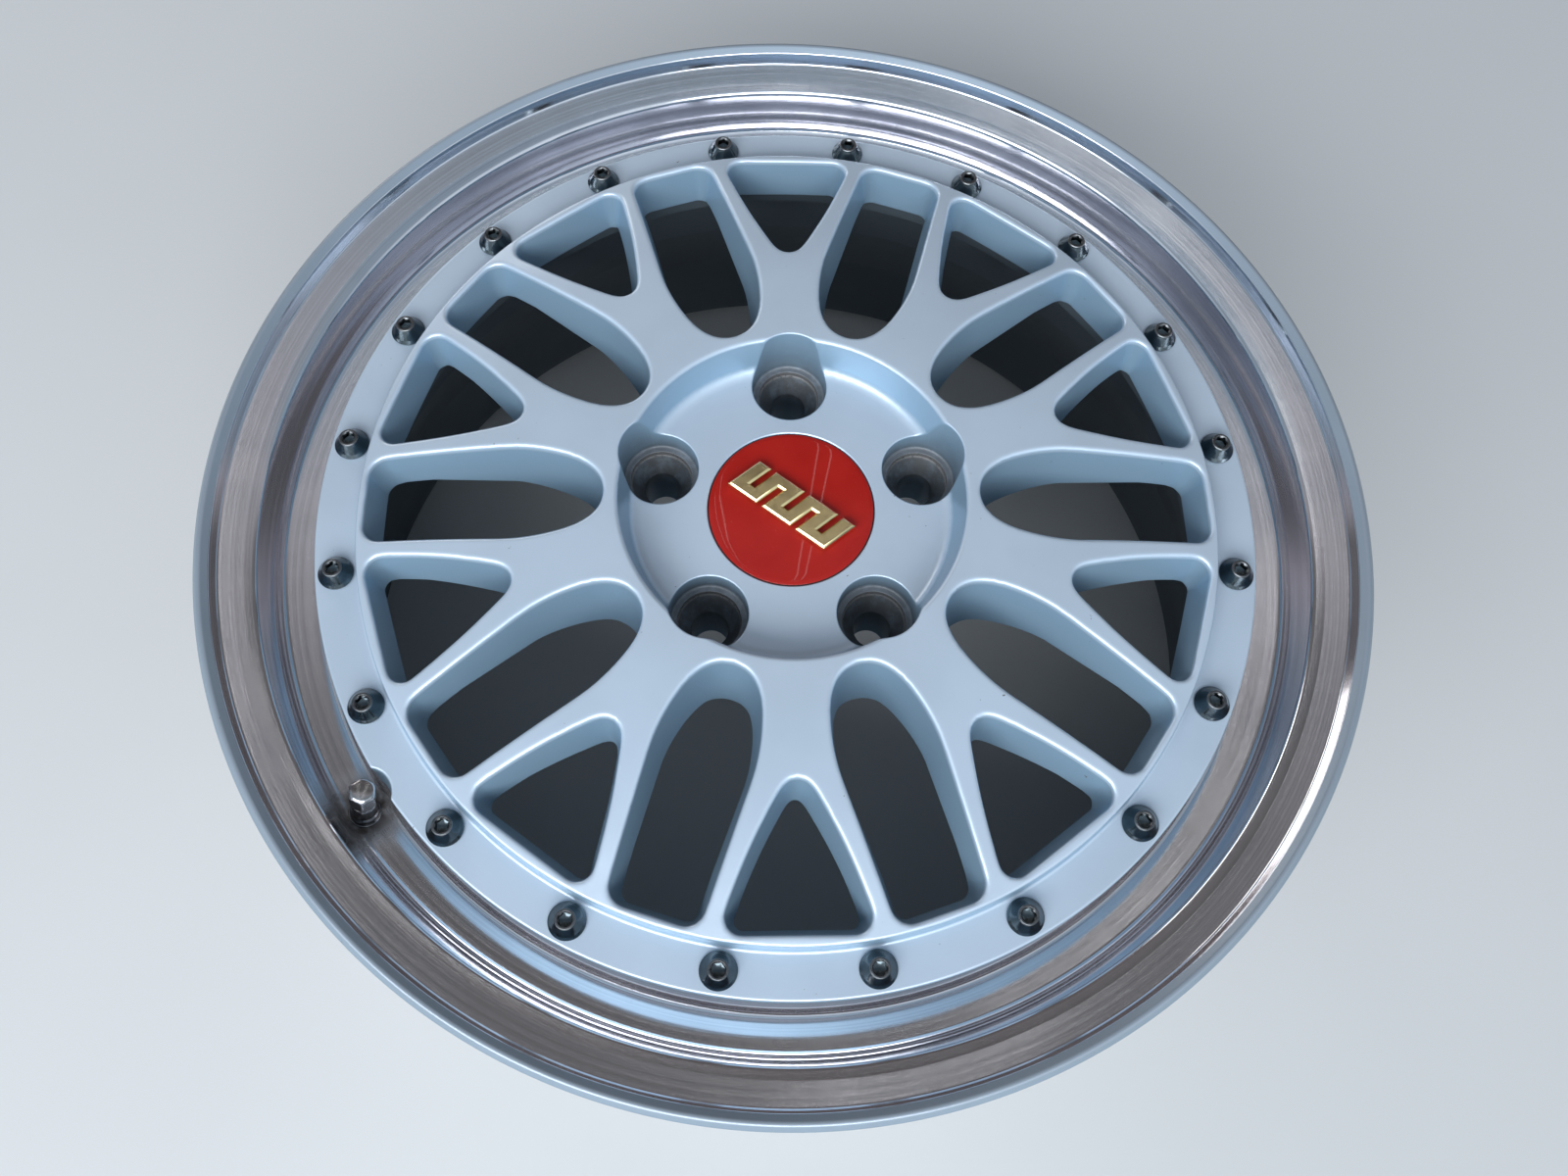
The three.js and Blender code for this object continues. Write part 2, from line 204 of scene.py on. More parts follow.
def spin(xy, degrees):
    a = math.radians(degrees)
    return xy @ np.array([[math.cos(a), math.sin(a)], [-math.sin(a), math.cos(a)]])


# ---- surfaces ----


class Skin:
    """Rows of points in millimetres joined by faces. Touching points are welded when it becomes a piece."""

    def __init__(self):
        self.points, self.faces, self.finishes, self.count = [], [], [], 0

    def row(self, points):
        points = np.asarray(points, float)
        self.points.append(points)
        self.count += len(points)
        return np.arange(self.count - len(points), self.count)

    def strips(self, rows, finishes=None, ring=True, closed=False):
        """Quads between neighbouring rows, which each close on themselves if ring is true. The last row
        joins the first if closed is true."""
        numbers = [self.row(row) for row in rows]
        following = numbers[1:] + (numbers[:1] if closed else [])
        for i, (low, high) in enumerate(zip(numbers, following)):
            quads = np.stack([low, np.roll(low, -1), np.roll(high, -1), high], 1)
            quads = quads if ring else quads[:-1]
            self.faces += quads.tolist()
            self.finishes += [finishes[i] if finishes else ""] * len(quads)

    def revolve(self, corners, count=64, closed=True, warp=None, angles=None, step=12):
        """A surface turned about Z from rounded corners. warp moves each row of points."""
        profile, finishes = rounded(corners, closed, step)
        angles = turns(count) if angles is None else angles
        rows = circles(profile, angles)
        rows = [warp(row) for row in rows] if warp else rows
        self.strips(rows, finishes, closed=closed)

    def cap(self, row):
        self.faces.append(self.row(row).tolist())
        self.finishes.append("")

    def mesh(self, name, slots=("",), matrix=Matrix()):
        """A welded mesh in metres, its faces pointing outwards. slots are the finishes in slot order."""
        points = np.concatenate(self.points) * MM
        mesh = bpy.data.meshes.new(name)
        mesh.from_pydata(points.tolist(), [], self.faces)
        mesh.polygons.foreach_set("material_index", [slots.index(f) for f in self.finishes])
        work = bmesh.new()
        work.from_mesh(mesh)
        bmesh.ops.remove_doubles(work, verts=work.verts, dist=0.01 * MM)
        bmesh.ops.dissolve_degenerate(work, edges=work.edges, dist=0.002 * MM)
        bmesh.ops.recalc_face_normals(work, faces=work.faces)
        work.to_mesh(mesh)
        work.free()
        mesh.transform(matrix)
        mesh.shade_smooth()
        mesh.set_sharp_from_angle(angle=math.radians(38))
        return mesh


def turned_skin(corners, count=48, closed=True):
    skin = Skin()
    skin.revolve(corners, count=count, closed=closed)
    return skin


def capped_skin(rows):
    """A skin over rows of points, with a flat face at each end."""
    skin = Skin()
    skin.strips(rows)
    skin.cap(rows[0])
    skin.cap(rows[-1])
    return skin


def wire_section(centre, out, radius, directions):
    """An upright circle of points round the centre of a wire that faces out from the axis."""
    return centre + radius * (np.outer(np.cos(directions), out) + np.outer(np.sin(directions), [0, 0, 1]))


class Plan:
    """A flat pattern of points with heights, filled with triangles."""

    def __init__(self, height):
        self.height, self.xy, self.z, self.edges = height, [], [], []

    def loop(self, xy, z=None):
        """A closed line of points that the triangles' edges follow."""
        start = len(self.xy)
        count = len(xy)
        self.scatter(xy, z)
        self.edges += [(start + i, start + (i + 1) % count) for i in range(count)]

    def scatter(self, xy, z=None):
        z = self.height(xy) if z is None else z
        self.xy += np.asarray(xy).tolist()
        self.z += np.broadcast_to(z, len(xy)).tolist()

    def fill(self, skin, keep, finish=""):
        """Adds the triangles whose centres pass keep to the skin, and gives the rim points of each hole."""
        found = delaunay_2d_cdt([Vector(p) for p in self.xy], self.edges, [], 0, 1e-4)
        xy = np.array([tuple(v) for v in found[0]])
        z = self.height(xy)
        for i, sources in enumerate(found[3]):
            if sources:
                xy[i] = self.xy[sources[0]]
                z[i] = self.z[sources[0]]
        faces = np.array([f for f in found[2] if len(f) == 3])
        faces = faces[keep(xy[faces].mean(1))]
        numbers = skin.row(at_height(xy, z))
        skin.faces += numbers[faces].tolist()
        skin.finishes += [finish] * len(faces)
        return xy, z, faces


def borders(xy, z, faces):
    """Every border of a filled pattern as a row of points."""
    edges = np.concatenate([faces[:, [0, 1]], faces[:, [1, 2]], faces[:, [2, 0]]])
    pairs = set(map(tuple, edges.tolist()))
    following = {a: b for a, b in pairs if (b, a) not in pairs}
    rows = []
    while following:
        start, at = following.popitem()
        row = [start]
        while at != start:
            row.append(at)
            at = following.pop(at)
        rows.append(np.column_stack([xy[row], z[row]]))
    return rows


def piece(name, mesh, body, slot, materials, *nodes):
    """An object from the mesh that rides on the body and stands for the CAD nodes."""
    thing = bpy.data.objects.new(name, mesh)
    bpy.context.scene.collection.objects.link(thing)
    for material in materials:
        mesh.materials.append(material)
    even = thing.modifiers.new("even_shading", "WEIGHTED_NORMAL")
    even.keep_sharp = True
    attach(thing, body)
    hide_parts(*nodes)
    return thing


# ---- windows of the disc ----


def mirrored(half):
    """A closed outline from its half above the X axis, which starts and ends on that axis."""
    return np.concatenate([half, half[-2:0:-1] * [1, -1]])


def wide_window():
    """Between neighbouring Y-spokes, its outer end at +X."""
    return mirrored(
        np.concatenate(
            [
                [[172.2, 0]],
                bezier((172.2, 0), (172.2, 10.6), count=4),
                bezier((172.2, 10.6), (172.2, 14.7), (168.8, 18.2), (164.7, 18.3), count=10),
                bezier((164.7, 18.3), (115, 20), count=13),
                bezier((115, 20), (104, 20), (94, 17.4), (88, 15), count=9),
                bezier((88, 15), (80.5, 11.8), (75.8, 7), (75.8, 0), count=13),
            ]
        )
    )


def fork_window():
    """Between the two arms of one Y-spoke, its outer end at +X."""
    return mirrored(
        np.concatenate(
            [
                [[171, 0]],
                bezier((171, 0), (171, 20.1), count=7),
                bezier((171, 20.1), (171, 24.7), (166.4, 27.9), (162.1, 26.3), count=12),
                bezier((162.1, 26.3), (151, 22.1), (140, 17.6), (128, 11), count=12),
                bezier((128, 11), (121.6, 7.4), (116, 5.2), (116, 0), count=12),
            ]
        )
    )


def offset(outline, distance):
    """The outline moved outwards by distance."""
    along = np.roll(outline, -1, 0) - np.roll(outline, 1, 0)
    along /= np.linalg.norm(along, axis=1)[:, None]
    return outline + distance * np.column_stack([along[:, 1], -along[:, 0]])


WINDOWS = [
    (wide_window(), [90 + PITCH / 2 + PITCH * i for i in range(10)]),
    (fork_window(), [90 + PITCH * i for i in range(10)]),
]


def window_gap(xy):
    """How far each point is outside the nearest window, negative inside it."""
    nearest = np.full(len(xy), FAR)
    for outline, angles in WINDOWS:
        direction = np.degrees(np.arctan2(xy[:, 1], xy[:, 0])) - angles[0]
        folded = np.radians((direction + PITCH / 2) % PITCH - PITCH / 2)
        radius = np.linalg.norm(xy, axis=1)
        local = np.column_stack([radius * np.cos(folded), radius * np.sin(folded)])
        for part in np.array_split(np.arange(len(xy)), max(1, len(xy) // 5000)):
            gap = polygon_gap(local[part], outline)
            nearest[part] = np.minimum(nearest[part], gap)
    return nearest


def polygon_gap(xy, outline):
    """How far each point is outside a polygon, negative inside it."""
    start, end = outline, np.roll(outline, -1, 0)
    side = end - start
    to = xy[:, None] - start[None]
    t = np.clip((to * side).sum(2) / (side**2).sum(1), 0, 1)
    distance = np.linalg.norm(to - t[..., None] * side, axis=2).min(1)
    above = start[:, 1] > xy[:, 1:2]
    below = end[:, 1] > xy[:, 1:2]
    with np.errstate(divide="ignore", invalid="ignore"):
        cross = start[:, 0] + (xy[:, 1:2] - start[:, 1]) * side[:, 0] / side[:, 1]
    inside = ((above != below) & (xy[:, :1] < cross)).sum(1) % 2 == 1
    return np.where(inside, -distance, distance)


# ---- disc ----


def crown(r):
    return CROWN_Z - CROWN_DROP * (max(r - CROWN_START_R, 0) / CROWN_LENGTH) ** CROWN_POWER


FRONT = rounded(
    [
        (CAP_BORE_R, RECESS_Z - 0.4), (CAP_BORE_R + 0.4, RECESS_Z, 0.3),
        (RECESS_FLOOR_R, RECESS_Z, 5.5), (RECESS_TOP_R, CROWN_Z, 2.2), (CROWN_START_R + 2, CROWN_Z),
    ]
    + [(r, crown(r)) for r in range(86, 172, 8)]
    + [
        (SPOKE_RING_R - 0.4, SPOKE_RING_Z, 1.5),
        (SPOKE_RING_R + 0.4, DISC_FLANGE_Z, 1.6),
        (DISC_R, DISC_FLANGE_Z),
    ],
    step=15,
)[0]
BACK = rounded(
    [
        (HUB_BORE_R, PAD_Z + 0.6), (HUB_BORE_R + 0.6, PAD_Z), (74, PAD_Z, 0.8), (75.3, 57, 3),
        (84, 66, 4), (115, 75.3, 15), (150, 79, 10), (162, 77.3, 6), (168, 73.6, 3),
        (RIM_FLANGE_R - GAP - 0.4, 72.4, 0.5),
        (RIM_FLANGE_R - GAP, SEAT_Z), (DISC_R - 0.5, SEAT_Z),
    ],
    step=15,
)[0]
FILLET_TURNS = (0, 22.5, 45, 67.5, 90)
LUG_CENTRES = ring(LUG_R, np.radians(LUG_ANGLES))
BOLT_CENTRES = np.array([spot.xy for spot in BOLT_SPOTS])
# Between these radii the windows break up the circles of each face.
FRONT_SPOKES = (73.2, 174)
BACK_SPOKES = (76.6, 170)
# Distance between the loose points of each face, and how far they keep from its borders.
FRONT_SPACING = 3.6
BACK_SPACING = 4.6
FIELD_MARGIN = 2.6
# Both as shares of that distance: from one row to the next, and the least from a point to a line.
FIELD_ROW = 0.87
FIELD_CLEAR = 0.45


def fillet_rows(radius):
    """(offset, drop) of each row across a round edge, from the wall to the flat."""
    angles = [math.radians(a) for a in FILLET_TURNS]
    return [(radius * (1 - math.cos(a)), radius * (1 - math.sin(a))) for a in angles]


def edge_drop(gap, radius):
    """How far a round edge lies below the flat at a distance from the wall."""
    inner = np.clip(radius - gap, 0, radius)
    return radius - np.sqrt(radius**2 - inner**2)


def circle_gap(xy, centres, radius):
    """How far each point is outside the nearest circle of that radius about one of the centres."""
    return np.linalg.norm(xy[:, None] - centres[None], axis=2).min(1) - radius


def lug_gap(xy, radius):
    return circle_gap(xy, LUG_CENTRES, radius)


def bolt_gap(xy):
    return circle_gap(xy, BOLT_CENTRES, BOLT_HOLE_R)


def front_height(xy):
    base = np.interp(np.linalg.norm(xy, axis=1), *zip(*FRONT))
    return base - edge_drop(lug_gap(xy, LUG_POCKET_R), POCKET_FILLET)


def back_height(xy):
    return np.interp(np.linalg.norm(xy, axis=1), *zip(*BACK))


def scoop_limit(points):
    """The radius at which the valve's scoop begins in the direction and at the height of each point."""
    angle = np.arctan2(points[:, 1], points[:, 0])
    out = np.column_stack([np.cos(angle), np.sin(angle), np.zeros(len(points))])
    axis, base = np.array(VALVE_AXIS), np.array(VALVE_BASE)
    start = np.column_stack([np.zeros((len(points), 2)), points[:, 2]]) - base
    across = out - (out @ axis)[:, None] * axis
    start -= (start @ axis)[:, None] * axis
    a = (across**2).sum(1)
    b = (across * start).sum(1)
    c = (start**2).sum(1) - SCOOP_R**2
    inside = b * b - a * c
    near = (-b - np.sqrt(np.maximum(inside, 0))) / a
    return np.where((inside > 0) & (near > 0), near, FAR)


def scooped(points):
    """The points pulled in to the scoop's wall where they lie in it."""
    radius = np.linalg.norm(points[:, :2], axis=1)
    limit = np.minimum(radius, scoop_limit(points))
    return np.column_stack([points[:, :2] * (limit / radius)[:, None], points[:, 2]])


def edge_angles(count):
    """Directions round the wheel, closer together at the valve's scoop."""
    near = VALVE_ANGLE % math.tau + math.radians(SCOOP_STEP) * np.arange(-SCOOP_STEPS, SCOOP_STEPS + 1)
    return np.unique(np.round(np.concatenate([turns(count), near]) % math.tau, 6))


EDGE_ANGLES = edge_angles(360)


def mesh_field(plan, low, high, keep, spacing):
    """Scatters points over a pattern between two radii, clear of its lines."""
    tree = KDTree(len(plan.xy))
    for i, (x, y) in enumerate(plan.xy):
        tree.insert((x, y, 0), i)
    tree.balance()
    for n, r in enumerate(np.arange(low + spacing / 2, high, spacing * FIELD_ROW)):
        count = round(math.tau * r / spacing)
        xy = ring(r, turns(count) + (n % 2) * math.pi / count)
        distances = np.array([tree.find((x, y, 0))[2] for x, y in xy])
        clear = keep(xy) & (distances > FIELD_CLEAR * spacing)
        plan.scatter(xy[clear])


def bolt_circles():
    return [centre + ring(BOLT_HOLE_R, turns(20)) for centre in BOLT_CENTRES]


def disc_outer_rows():
    """The disc's outer edge from its front face round to its back, with the valve's scoop in it."""
    rows = []
    for z, inset in [
        (DISC_FLANGE_Z, 1.2), (DISC_FLANGE_Z, 0.9), (DISC_FLANGE_Z - 0.12, 0.45),
        (DISC_FLANGE_Z - 0.45, 0.12), (DISC_FLANGE_Z - 0.9, 0), (SEAT_Z + 0.5, 0), (SEAT_Z, 0.5),
    ]:
        row = scooped(at_height(ring(DISC_R, EDGE_ANGLES), z))
        radius = np.linalg.norm(row[:, :2], axis=1)
        rows.append(np.column_stack([row[:, :2] * (1 - inset / radius)[:, None], row[:, 2]]))
    return rows


def within(xy, row):
    """True for points inside a border row given by direction."""
    direction = np.arctan2(xy[:, 1], xy[:, 0]) % math.tau
    radius = np.linalg.norm(row[:, :2], axis=1)
    limit = np.interp(direction, EDGE_ANGLES, radius, period=math.tau)
    return np.linalg.norm(xy, axis=1) < limit


def on_disc(inner_r, edge, draft, lug_r):
    """A test for the points on one face's metal, clear of its borders by a margin."""

    def keep(xy, margin=0.0):
        radius = np.linalg.norm(xy, axis=1)
        solid = (radius > inner_r + margin) & within(xy, edge)
        solid &= (window_gap(xy) > margin - draft) & (bolt_gap(xy) > margin / 2)
        return solid & (lug_gap(xy, lug_r) > margin)

    return keep


def disc_front(skin, edge):
    """Fills the front face inside its outer edge, and gives its borders."""
    front = Plan(front_height)
    front.loop(edge[:, :2], DISC_FLANGE_Z)
    for r, _ in FRONT[:-1]:
        if r < FRONT_SPOKES[0] or r > FRONT_SPOKES[1]:
            count = 144 if r < 50 else 240 if r < 100 else 360
            front.loop(ring(r, turns(count)))
    for circle in bolt_circles():
        front.loop(circle)
    for outline, angles in WINDOWS:
        for distance, drop in fillet_rows(WINDOW_FILLET) + [(WINDOW_FILLET + 0.8, 0)]:
            local = offset(outline, distance)
            local *= np.minimum(1, (FRONT_SPOKES[1] - 0.1) / np.linalg.norm(local, axis=1))[:, None]
            for angle in angles:
                xy = spin(local, angle)
                front.loop(xy, front_height(xy) - drop)
    for centre in LUG_CENTRES:
        for distance, _ in fillet_rows(POCKET_FILLET):
            front.loop(centre + ring(LUG_POCKET_R + distance, turns(72)))
    keep = on_disc(CAP_BORE_R, edge, 0, LUG_POCKET_R)
    mesh_field(front, CAP_BORE_R, DISC_R, lambda xy: keep(xy, FIELD_MARGIN), FRONT_SPACING)
    return borders(*front.fill(skin, keep))


def disc_back(skin, edge):
    back = Plan(back_height)
    back.loop(edge[:, :2], SEAT_Z)
    for r, _ in BACK[:-1]:
        if r < BACK_SPOKES[0] or r > BACK_SPOKES[1]:
            back.loop(ring(r, turns(144 if r < 50 else 240)))
    for circle in bolt_circles():
        back.loop(circle)
    for outline, angles in WINDOWS:
        for distance, drop in fillet_rows(WINDOW_BACK_FILLET):
            local = offset(outline, distance - WINDOW_DRAFT)
            for angle in angles:
                xy = spin(local, angle)
                back.loop(xy, back_height(xy) + drop)
    for centre in LUG_CENTRES:
        back.loop(centre + ring(LUG_HOLE_R + STUD_CHAMFER, turns(40)))
        back.loop(centre + ring(LUG_HOLE_R, turns(40)), PAD_Z + STUD_CHAMFER)
    keep = on_disc(HUB_BORE_R, edge, WINDOW_DRAFT, LUG_HOLE_R)
    mesh_field(back, HUB_BORE_R, DISC_R, lambda xy: keep(xy, FIELD_MARGIN), BACK_SPACING)
    back.fill(skin, keep)


def build_disc():
    skin = Skin()
    outer = disc_outer_rows()
    skin.strips(outer)
    front_borders = disc_front(skin, outer[0])
    disc_back(skin, outer[-1])
    window_walls(skin)
    bolt_walls(skin, DISC_FLANGE_Z, SEAT_Z)
    lug_walls(skin, front_borders)
    bore = [
        (CAP_BORE_R, RECESS_Z - 0.4), (CAP_BORE_R, RECESS_Z - 4.4, 0.3),
        (31.5, RECESS_Z - 4.4, 0.4), (31.5, 74, 0.5), (HUB_BORE_R, 68, 1),
        (HUB_BORE_R, PAD_Z + 0.6),
    ]
    skin.revolve(bore, count=144, closed=False)
    return skin


def window_walls(skin):
    """Drafted walls from the front edge of each window to its back edge."""
    for outline, angles in WINDOWS:
        for angle in angles:
            top = spin(outline, angle)
            foot = spin(offset(outline, -WINDOW_DRAFT), angle)
            high = at_height(top, 0) + np.outer(front_height(top) - WINDOW_FILLET, [0, 0, 1])
            low = at_height(foot, 0) + np.outer(back_height(foot) + WINDOW_BACK_FILLET, [0, 0, 1])
            skin.strips([high + (low - high) * t for t in (0, 0.06, 0.35, 0.65, 0.94, 1)])


def bolt_walls(skin, high, low):
    for circle in bolt_circles():
        skin.strips([at_height(circle, high), at_height(circle, low)])


def lug_walls(skin, front_borders):
    """Pocket, conical seat and stud hole of each lug, joined to the borders of the front face."""
    profile = rounded(
        [
            (LUG_POCKET_R, 80), (LUG_POCKET_R, 76.5, 1.6), (LUG_SEAT_R + 0.1, 76.5, 0.3),
            (LUG_SEAT_R, 74, 0.3), (LUG_SEAT_R - 0.7, 73, 0), (LUG_SEAT_R - 1.2, 72.2, 0),
            (LUG_HOLE_R, 66.5, 0.4), (LUG_HOLE_R, PAD_Z + STUD_CHAMFER),
        ]
    )[0]
    for centre in LUG_CENTRES:
        edge = next(b for b in front_borders if np.linalg.norm(b[:, :2].mean(0) - centre) < 3)
        directions = np.arctan2(edge[:, 1] - centre[1], edge[:, 0] - centre[0])
        rows = [edge] + [at_height(centre + ring(r, directions), z) for r, z in profile[:-1]]
        skin.strips(rows)
        foot = at_height(centre + ring(LUG_HOLE_R, turns(40)), PAD_Z + STUD_CHAMFER)
        join_rows(skin, rows[-1], foot, centre)


def join_rows(skin, upper, lower, centre):
    """Triangles between two rows round a centre that differ in their number of points."""

    def sorted_row(row):
        direction = np.arctan2(row[:, 1] - centre[1], row[:, 0] - centre[0]) % math.tau
        order = np.argsort(direction)
        return row[order], direction[order]

    (a, da), (b, db) = sorted_row(upper), sorted_row(lower)
    na, nb = skin.row(a), skin.row(b)
    i = j = 0
    while i < len(a) or j < len(b):
        next_a = da[i + 1] if i + 1 < len(a) else (da[0] + math.tau if i < len(a) else math.inf)
        next_b = db[j + 1] if j + 1 < len(b) else (db[0] + math.tau if j < len(b) else math.inf)
        if next_a <= next_b:
            face = [na[i % len(a)], na[(i + 1) % len(a)], nb[j % len(b)]]
            i += 1
        else:
            face = [na[i % len(a)], nb[(j + 1) % len(b)], nb[j % len(b)]]
            j += 1
        skin.faces.append([int(n) for n in face])
        skin.finishes.append("")


# ---- rim ----


def rim_floor(r):
    return VALVE_BASE.z + (r - VALVE_R) * math.tan(VALVE_TILT)


def rim_under(r):
    return rim_floor(r) - 5 / math.cos(VALVE_TILT)


def build_rim():
    """Tyre side from the rear flange to the front one, then the stepped lip, the mounting flange and the
    inside of the barrel."""
    inside = WELL_R - WALL
    seat = SEAT_Z - GAP
    outer_side = [
        (FLANGE_R - 3.4, -FACE_Z, 0, "edge"), (FLANGE_R - 1.8, -FACE_Z, 1.2),
        (FLANGE_R, 2.6 - FACE_Z, 1.2),
        (FLANGE_R, 5.5 - FACE_Z, 2.5, "bare"),
        (FLANGE_R - 6, -HALF_RIM, 4), (FLANGE_R - 13, -HALF_RIM, 4.5), (BEAD_R, -HALF_RIM + 6, 4.5),
        (BEAD_R - 1.6, -HALF_RIM + 26, 8), (BEAD_R - 5.5, -HALF_RIM + 60, 20), (WELL_R + 4, 6, 12),
        (WELL_R, 20, 10), (WELL_R, 56, 2),
        (WELL_R + 2, rim_under(WELL_R + 2), 2),
        (BEAD_R - 3, rim_under(BEAD_R - 3), 3),
        (BEAD_R - 1.1, HALF_RIM - 20, 4), (BEAD_R, HALF_RIM - 6, 4.5),
        (FLANGE_R - 13, HALF_RIM, 4.5), (FLANGE_R - 6, HALF_RIM, 4),
        (FLANGE_R, FACE_Z - 5.5, 2.5, "edge"),
        (FLANGE_R, FACE_Z - 3, 1.5), (FLANGE_R - 2.6, FACE_Z, 1.6),
        (FLANGE_R - 6, FACE_Z - 2.8, 0.8, "polish"),
        (FLANGE_R - 7, FACE_Z - 8.4, 1.2), (219.5, FACE_Z - 10.8, 3), (215, FACE_Z - 12.4, 2.4),
        (213.2, 71, 6), (211.5, rim_floor(211.5), 4.5), (196.5, rim_floor(196.5), 2.2),
        (DISC_R, seat),
    ]
    inner_side = [
        (inside, RIM_FLANGE_BACK_Z, 0, "inner"),
        (inside, 18, 10), (WELL_R - 1, 4, 12), (BEAD_R - 10, -HALF_RIM + 60, 20),
        (BEAD_R - 6, -HALF_RIM + 26, 8), (BEAD_R - 4.5, -HALF_RIM + 3, 6),
        (FLANGE_R - 10, 6 - FACE_Z, 2, "bare"),
        (FLANGE_R - 6.4, 1.6 - FACE_Z, 2), (FLANGE_R - 3.4, -FACE_Z),
    ]
    skin = Skin()
    skin.revolve(outer_side, closed=False, warp=rim_dent, angles=EDGE_ANGLES)
    lip_edge = rim_dent(at_height(ring(DISC_R, EDGE_ANGLES), seat))
    skin.revolve(inner_side, closed=False, angles=EDGE_ANGLES)
    for z, outer in ((seat, lip_edge[:, :2]), (RIM_FLANGE_BACK_Z, ring(inside, EDGE_ANGLES))):
        flange = Plan(lambda xy, z=z: np.full(len(xy), z))
        flange.loop(outer)
        flange.loop(ring(RIM_FLANGE_R, EDGE_ANGLES))
        for circle in bolt_circles():
            flange.loop(circle)
        limit = np.column_stack([outer, np.zeros(len(outer))])

        def keep(xy):
            return (np.linalg.norm(xy, axis=1) > RIM_FLANGE_R) & within(xy, limit) & (bolt_gap(xy) > 0)

        flange.fill(skin, keep, "inner")
    bolt_walls(skin, seat, RIM_FLANGE_BACK_Z)
    skin.revolve(
        [(RIM_FLANGE_R, seat, 0, "inner"), (RIM_FLANGE_R, RIM_FLANGE_BACK_Z)],
        closed=False,
        angles=EDGE_ANGLES,
    )
    skin.finishes = [f or "inner" for f in skin.finishes]
    return skin


def rim_dent(row):
    """The scoop cuts the step only."""
    radius = np.linalg.norm(row[0, :2])
    on_step = STEP_R[0] < radius < STEP_R[1] and row[0, 2] > STEP_Z
    return scooped(row) if on_step else row


# ---- fasteners ----


def hexagon_row(across, z, angles, round_off=0.0):
    """A hexagon of that width across its flats, sampled in the given directions. round_off limits its
    corners to a circle."""
    folded = (angles + math.pi / 6) % (math.pi / 3) - math.pi / 6
    radius = across / 2 / np.cos(folded)
    radius = np.minimum(radius, round_off) if round_off else radius
    return at_height(np.column_stack([radius * np.cos(angles), radius * np.sin(angles)]), z)


def build_bolt():
    """Bell-shaped head with a rolled ring round a hexagonal socket, and a shank."""
    seat = DISC_FLANGE_Z + GAP
    angles = turns(36)
    outer, _ = rounded(
        [
            (0, 55.5), (2.9, 55.5, 0.3), (3.5, 56.3, 0.3), (3.5, seat, 0.2), (7.0, seat, 0.25),
            (7.15, seat + 0.7, 0.35), (6.2, seat + 1.9, 1.2), (4.3, seat + 4.9, 1.5),
            (3.85, seat + 5.6, 0.2), (3.95, seat + 6.1, 0.25), (3.6, seat + 6.5, 0.3),
            (2.95, seat + 6.5, 0.15), (2.75, seat + 6.2),
        ]
    )
    rows = circles(outer, angles)
    rows += [hexagon_row(4.7, seat + 5.9, angles), hexagon_row(4.6, seat + 3.3, angles)]
    rows += circles([(1.5, seat + 2.9), (0, seat + 2.6)], angles)
    skin = Skin()
    skin.strips(rows)
    return skin


def build_nut():
    """Hexagon with a chamfered back and a round collar against the rim's flange."""
    top = RIM_FLANGE_BACK_Z - GAP
    angles = turns(36)
    across = 10.4
    corner = 6.05
    collar = [(6.1, 1.9), (6.7, 1.6), (6.85, 1.2), (6.85, 0.2), (6.65, 0)]
    bore = [(4.2, 0), (3.8, 0.4), (3.8, 6.8)]
    rows = circles([(4.3, top - 7.3), (4.9, top - 7.3)], angles)
    rows += [hexagon_row(across, top - 6.9, angles, 5.5), hexagon_row(across, top - 6.2, angles, corner)]
    rows.append(hexagon_row(across, top - 2.2, angles, corner))
    rows += circles([(r, top - depth) for r, depth in collar + bore], angles)
    skin = Skin()
    skin.strips(rows, closed=True)
    return skin


# ---- centre cap ----

CAP_R = CAP_BORE_R - GAP
EMBLEM_TURN = -37
EMBLEM_LENGTH = 49
EMBLEM_WIDTH = 16.4
EMBLEM_PITCH = 8.53
EMBLEM_LEAN = 0.27


def build_cap_body():
    """Ring and plate with six spring legs."""
    plate = RECESS_Z - 3.4
    top = RECESS_Z - 0.75
    skin = Skin()
    skin.revolve(
        [
            (0, plate + 1), (CAP_R - 1.1, plate + 1, 0.3), (CAP_R - 1.1, top, 0.2),
            (CAP_R, top, 0.3), (CAP_R, RECESS_Z - 4.1, 0.3), (30, RECESS_Z - 4.1, 0.4),
            (29.2, plate - 1, 0.4), (0, plate - 1),
        ],
        count=120,
        closed=False,
    )
    legs, _ = rounded(
        [
            (27, 70, 0.5), (30, 70, 0.5), (31, 72.4, 0.6), (30, 75.5, 0.8), (30, plate - 0.9),
            (27, plate - 0.9),
        ],
        closed=True,
    )
    half = math.radians(23.5)
    for k in range(6):
        angles = math.radians(60 * k + 30) + np.linspace(-half, half, 14)
        rows = np.array(circles(legs, angles))
        skin.strips(rows.transpose(1, 0, 2))
        skin.cap(rows[:, 0])
        skin.cap(rows[:, -1])
    return skin


def build_cap_face():
    """Shallow lacquered dome that hides the top of the ring round it."""
    low = RECESS_Z - 2.1
    inner = CAP_R - 1.4
    rim = CAP_R - 0.25
    dome = [(r, RECESS_Z + 0.5 - 0.42 * (r / 31.7) ** 2) for r in np.linspace(32, 0, 17)]
    side = [
        (0, low), (inner, low, 0.3), (inner, RECESS_Z - 0.7, 0.1), (rim, RECESS_Z - 0.7, 0.15),
        (rim, RECESS_Z - 0.25, 0.3), (32.7, RECESS_Z + 0.03, 1),
    ]
    return turned_skin(side + dome, count=144, closed=False)


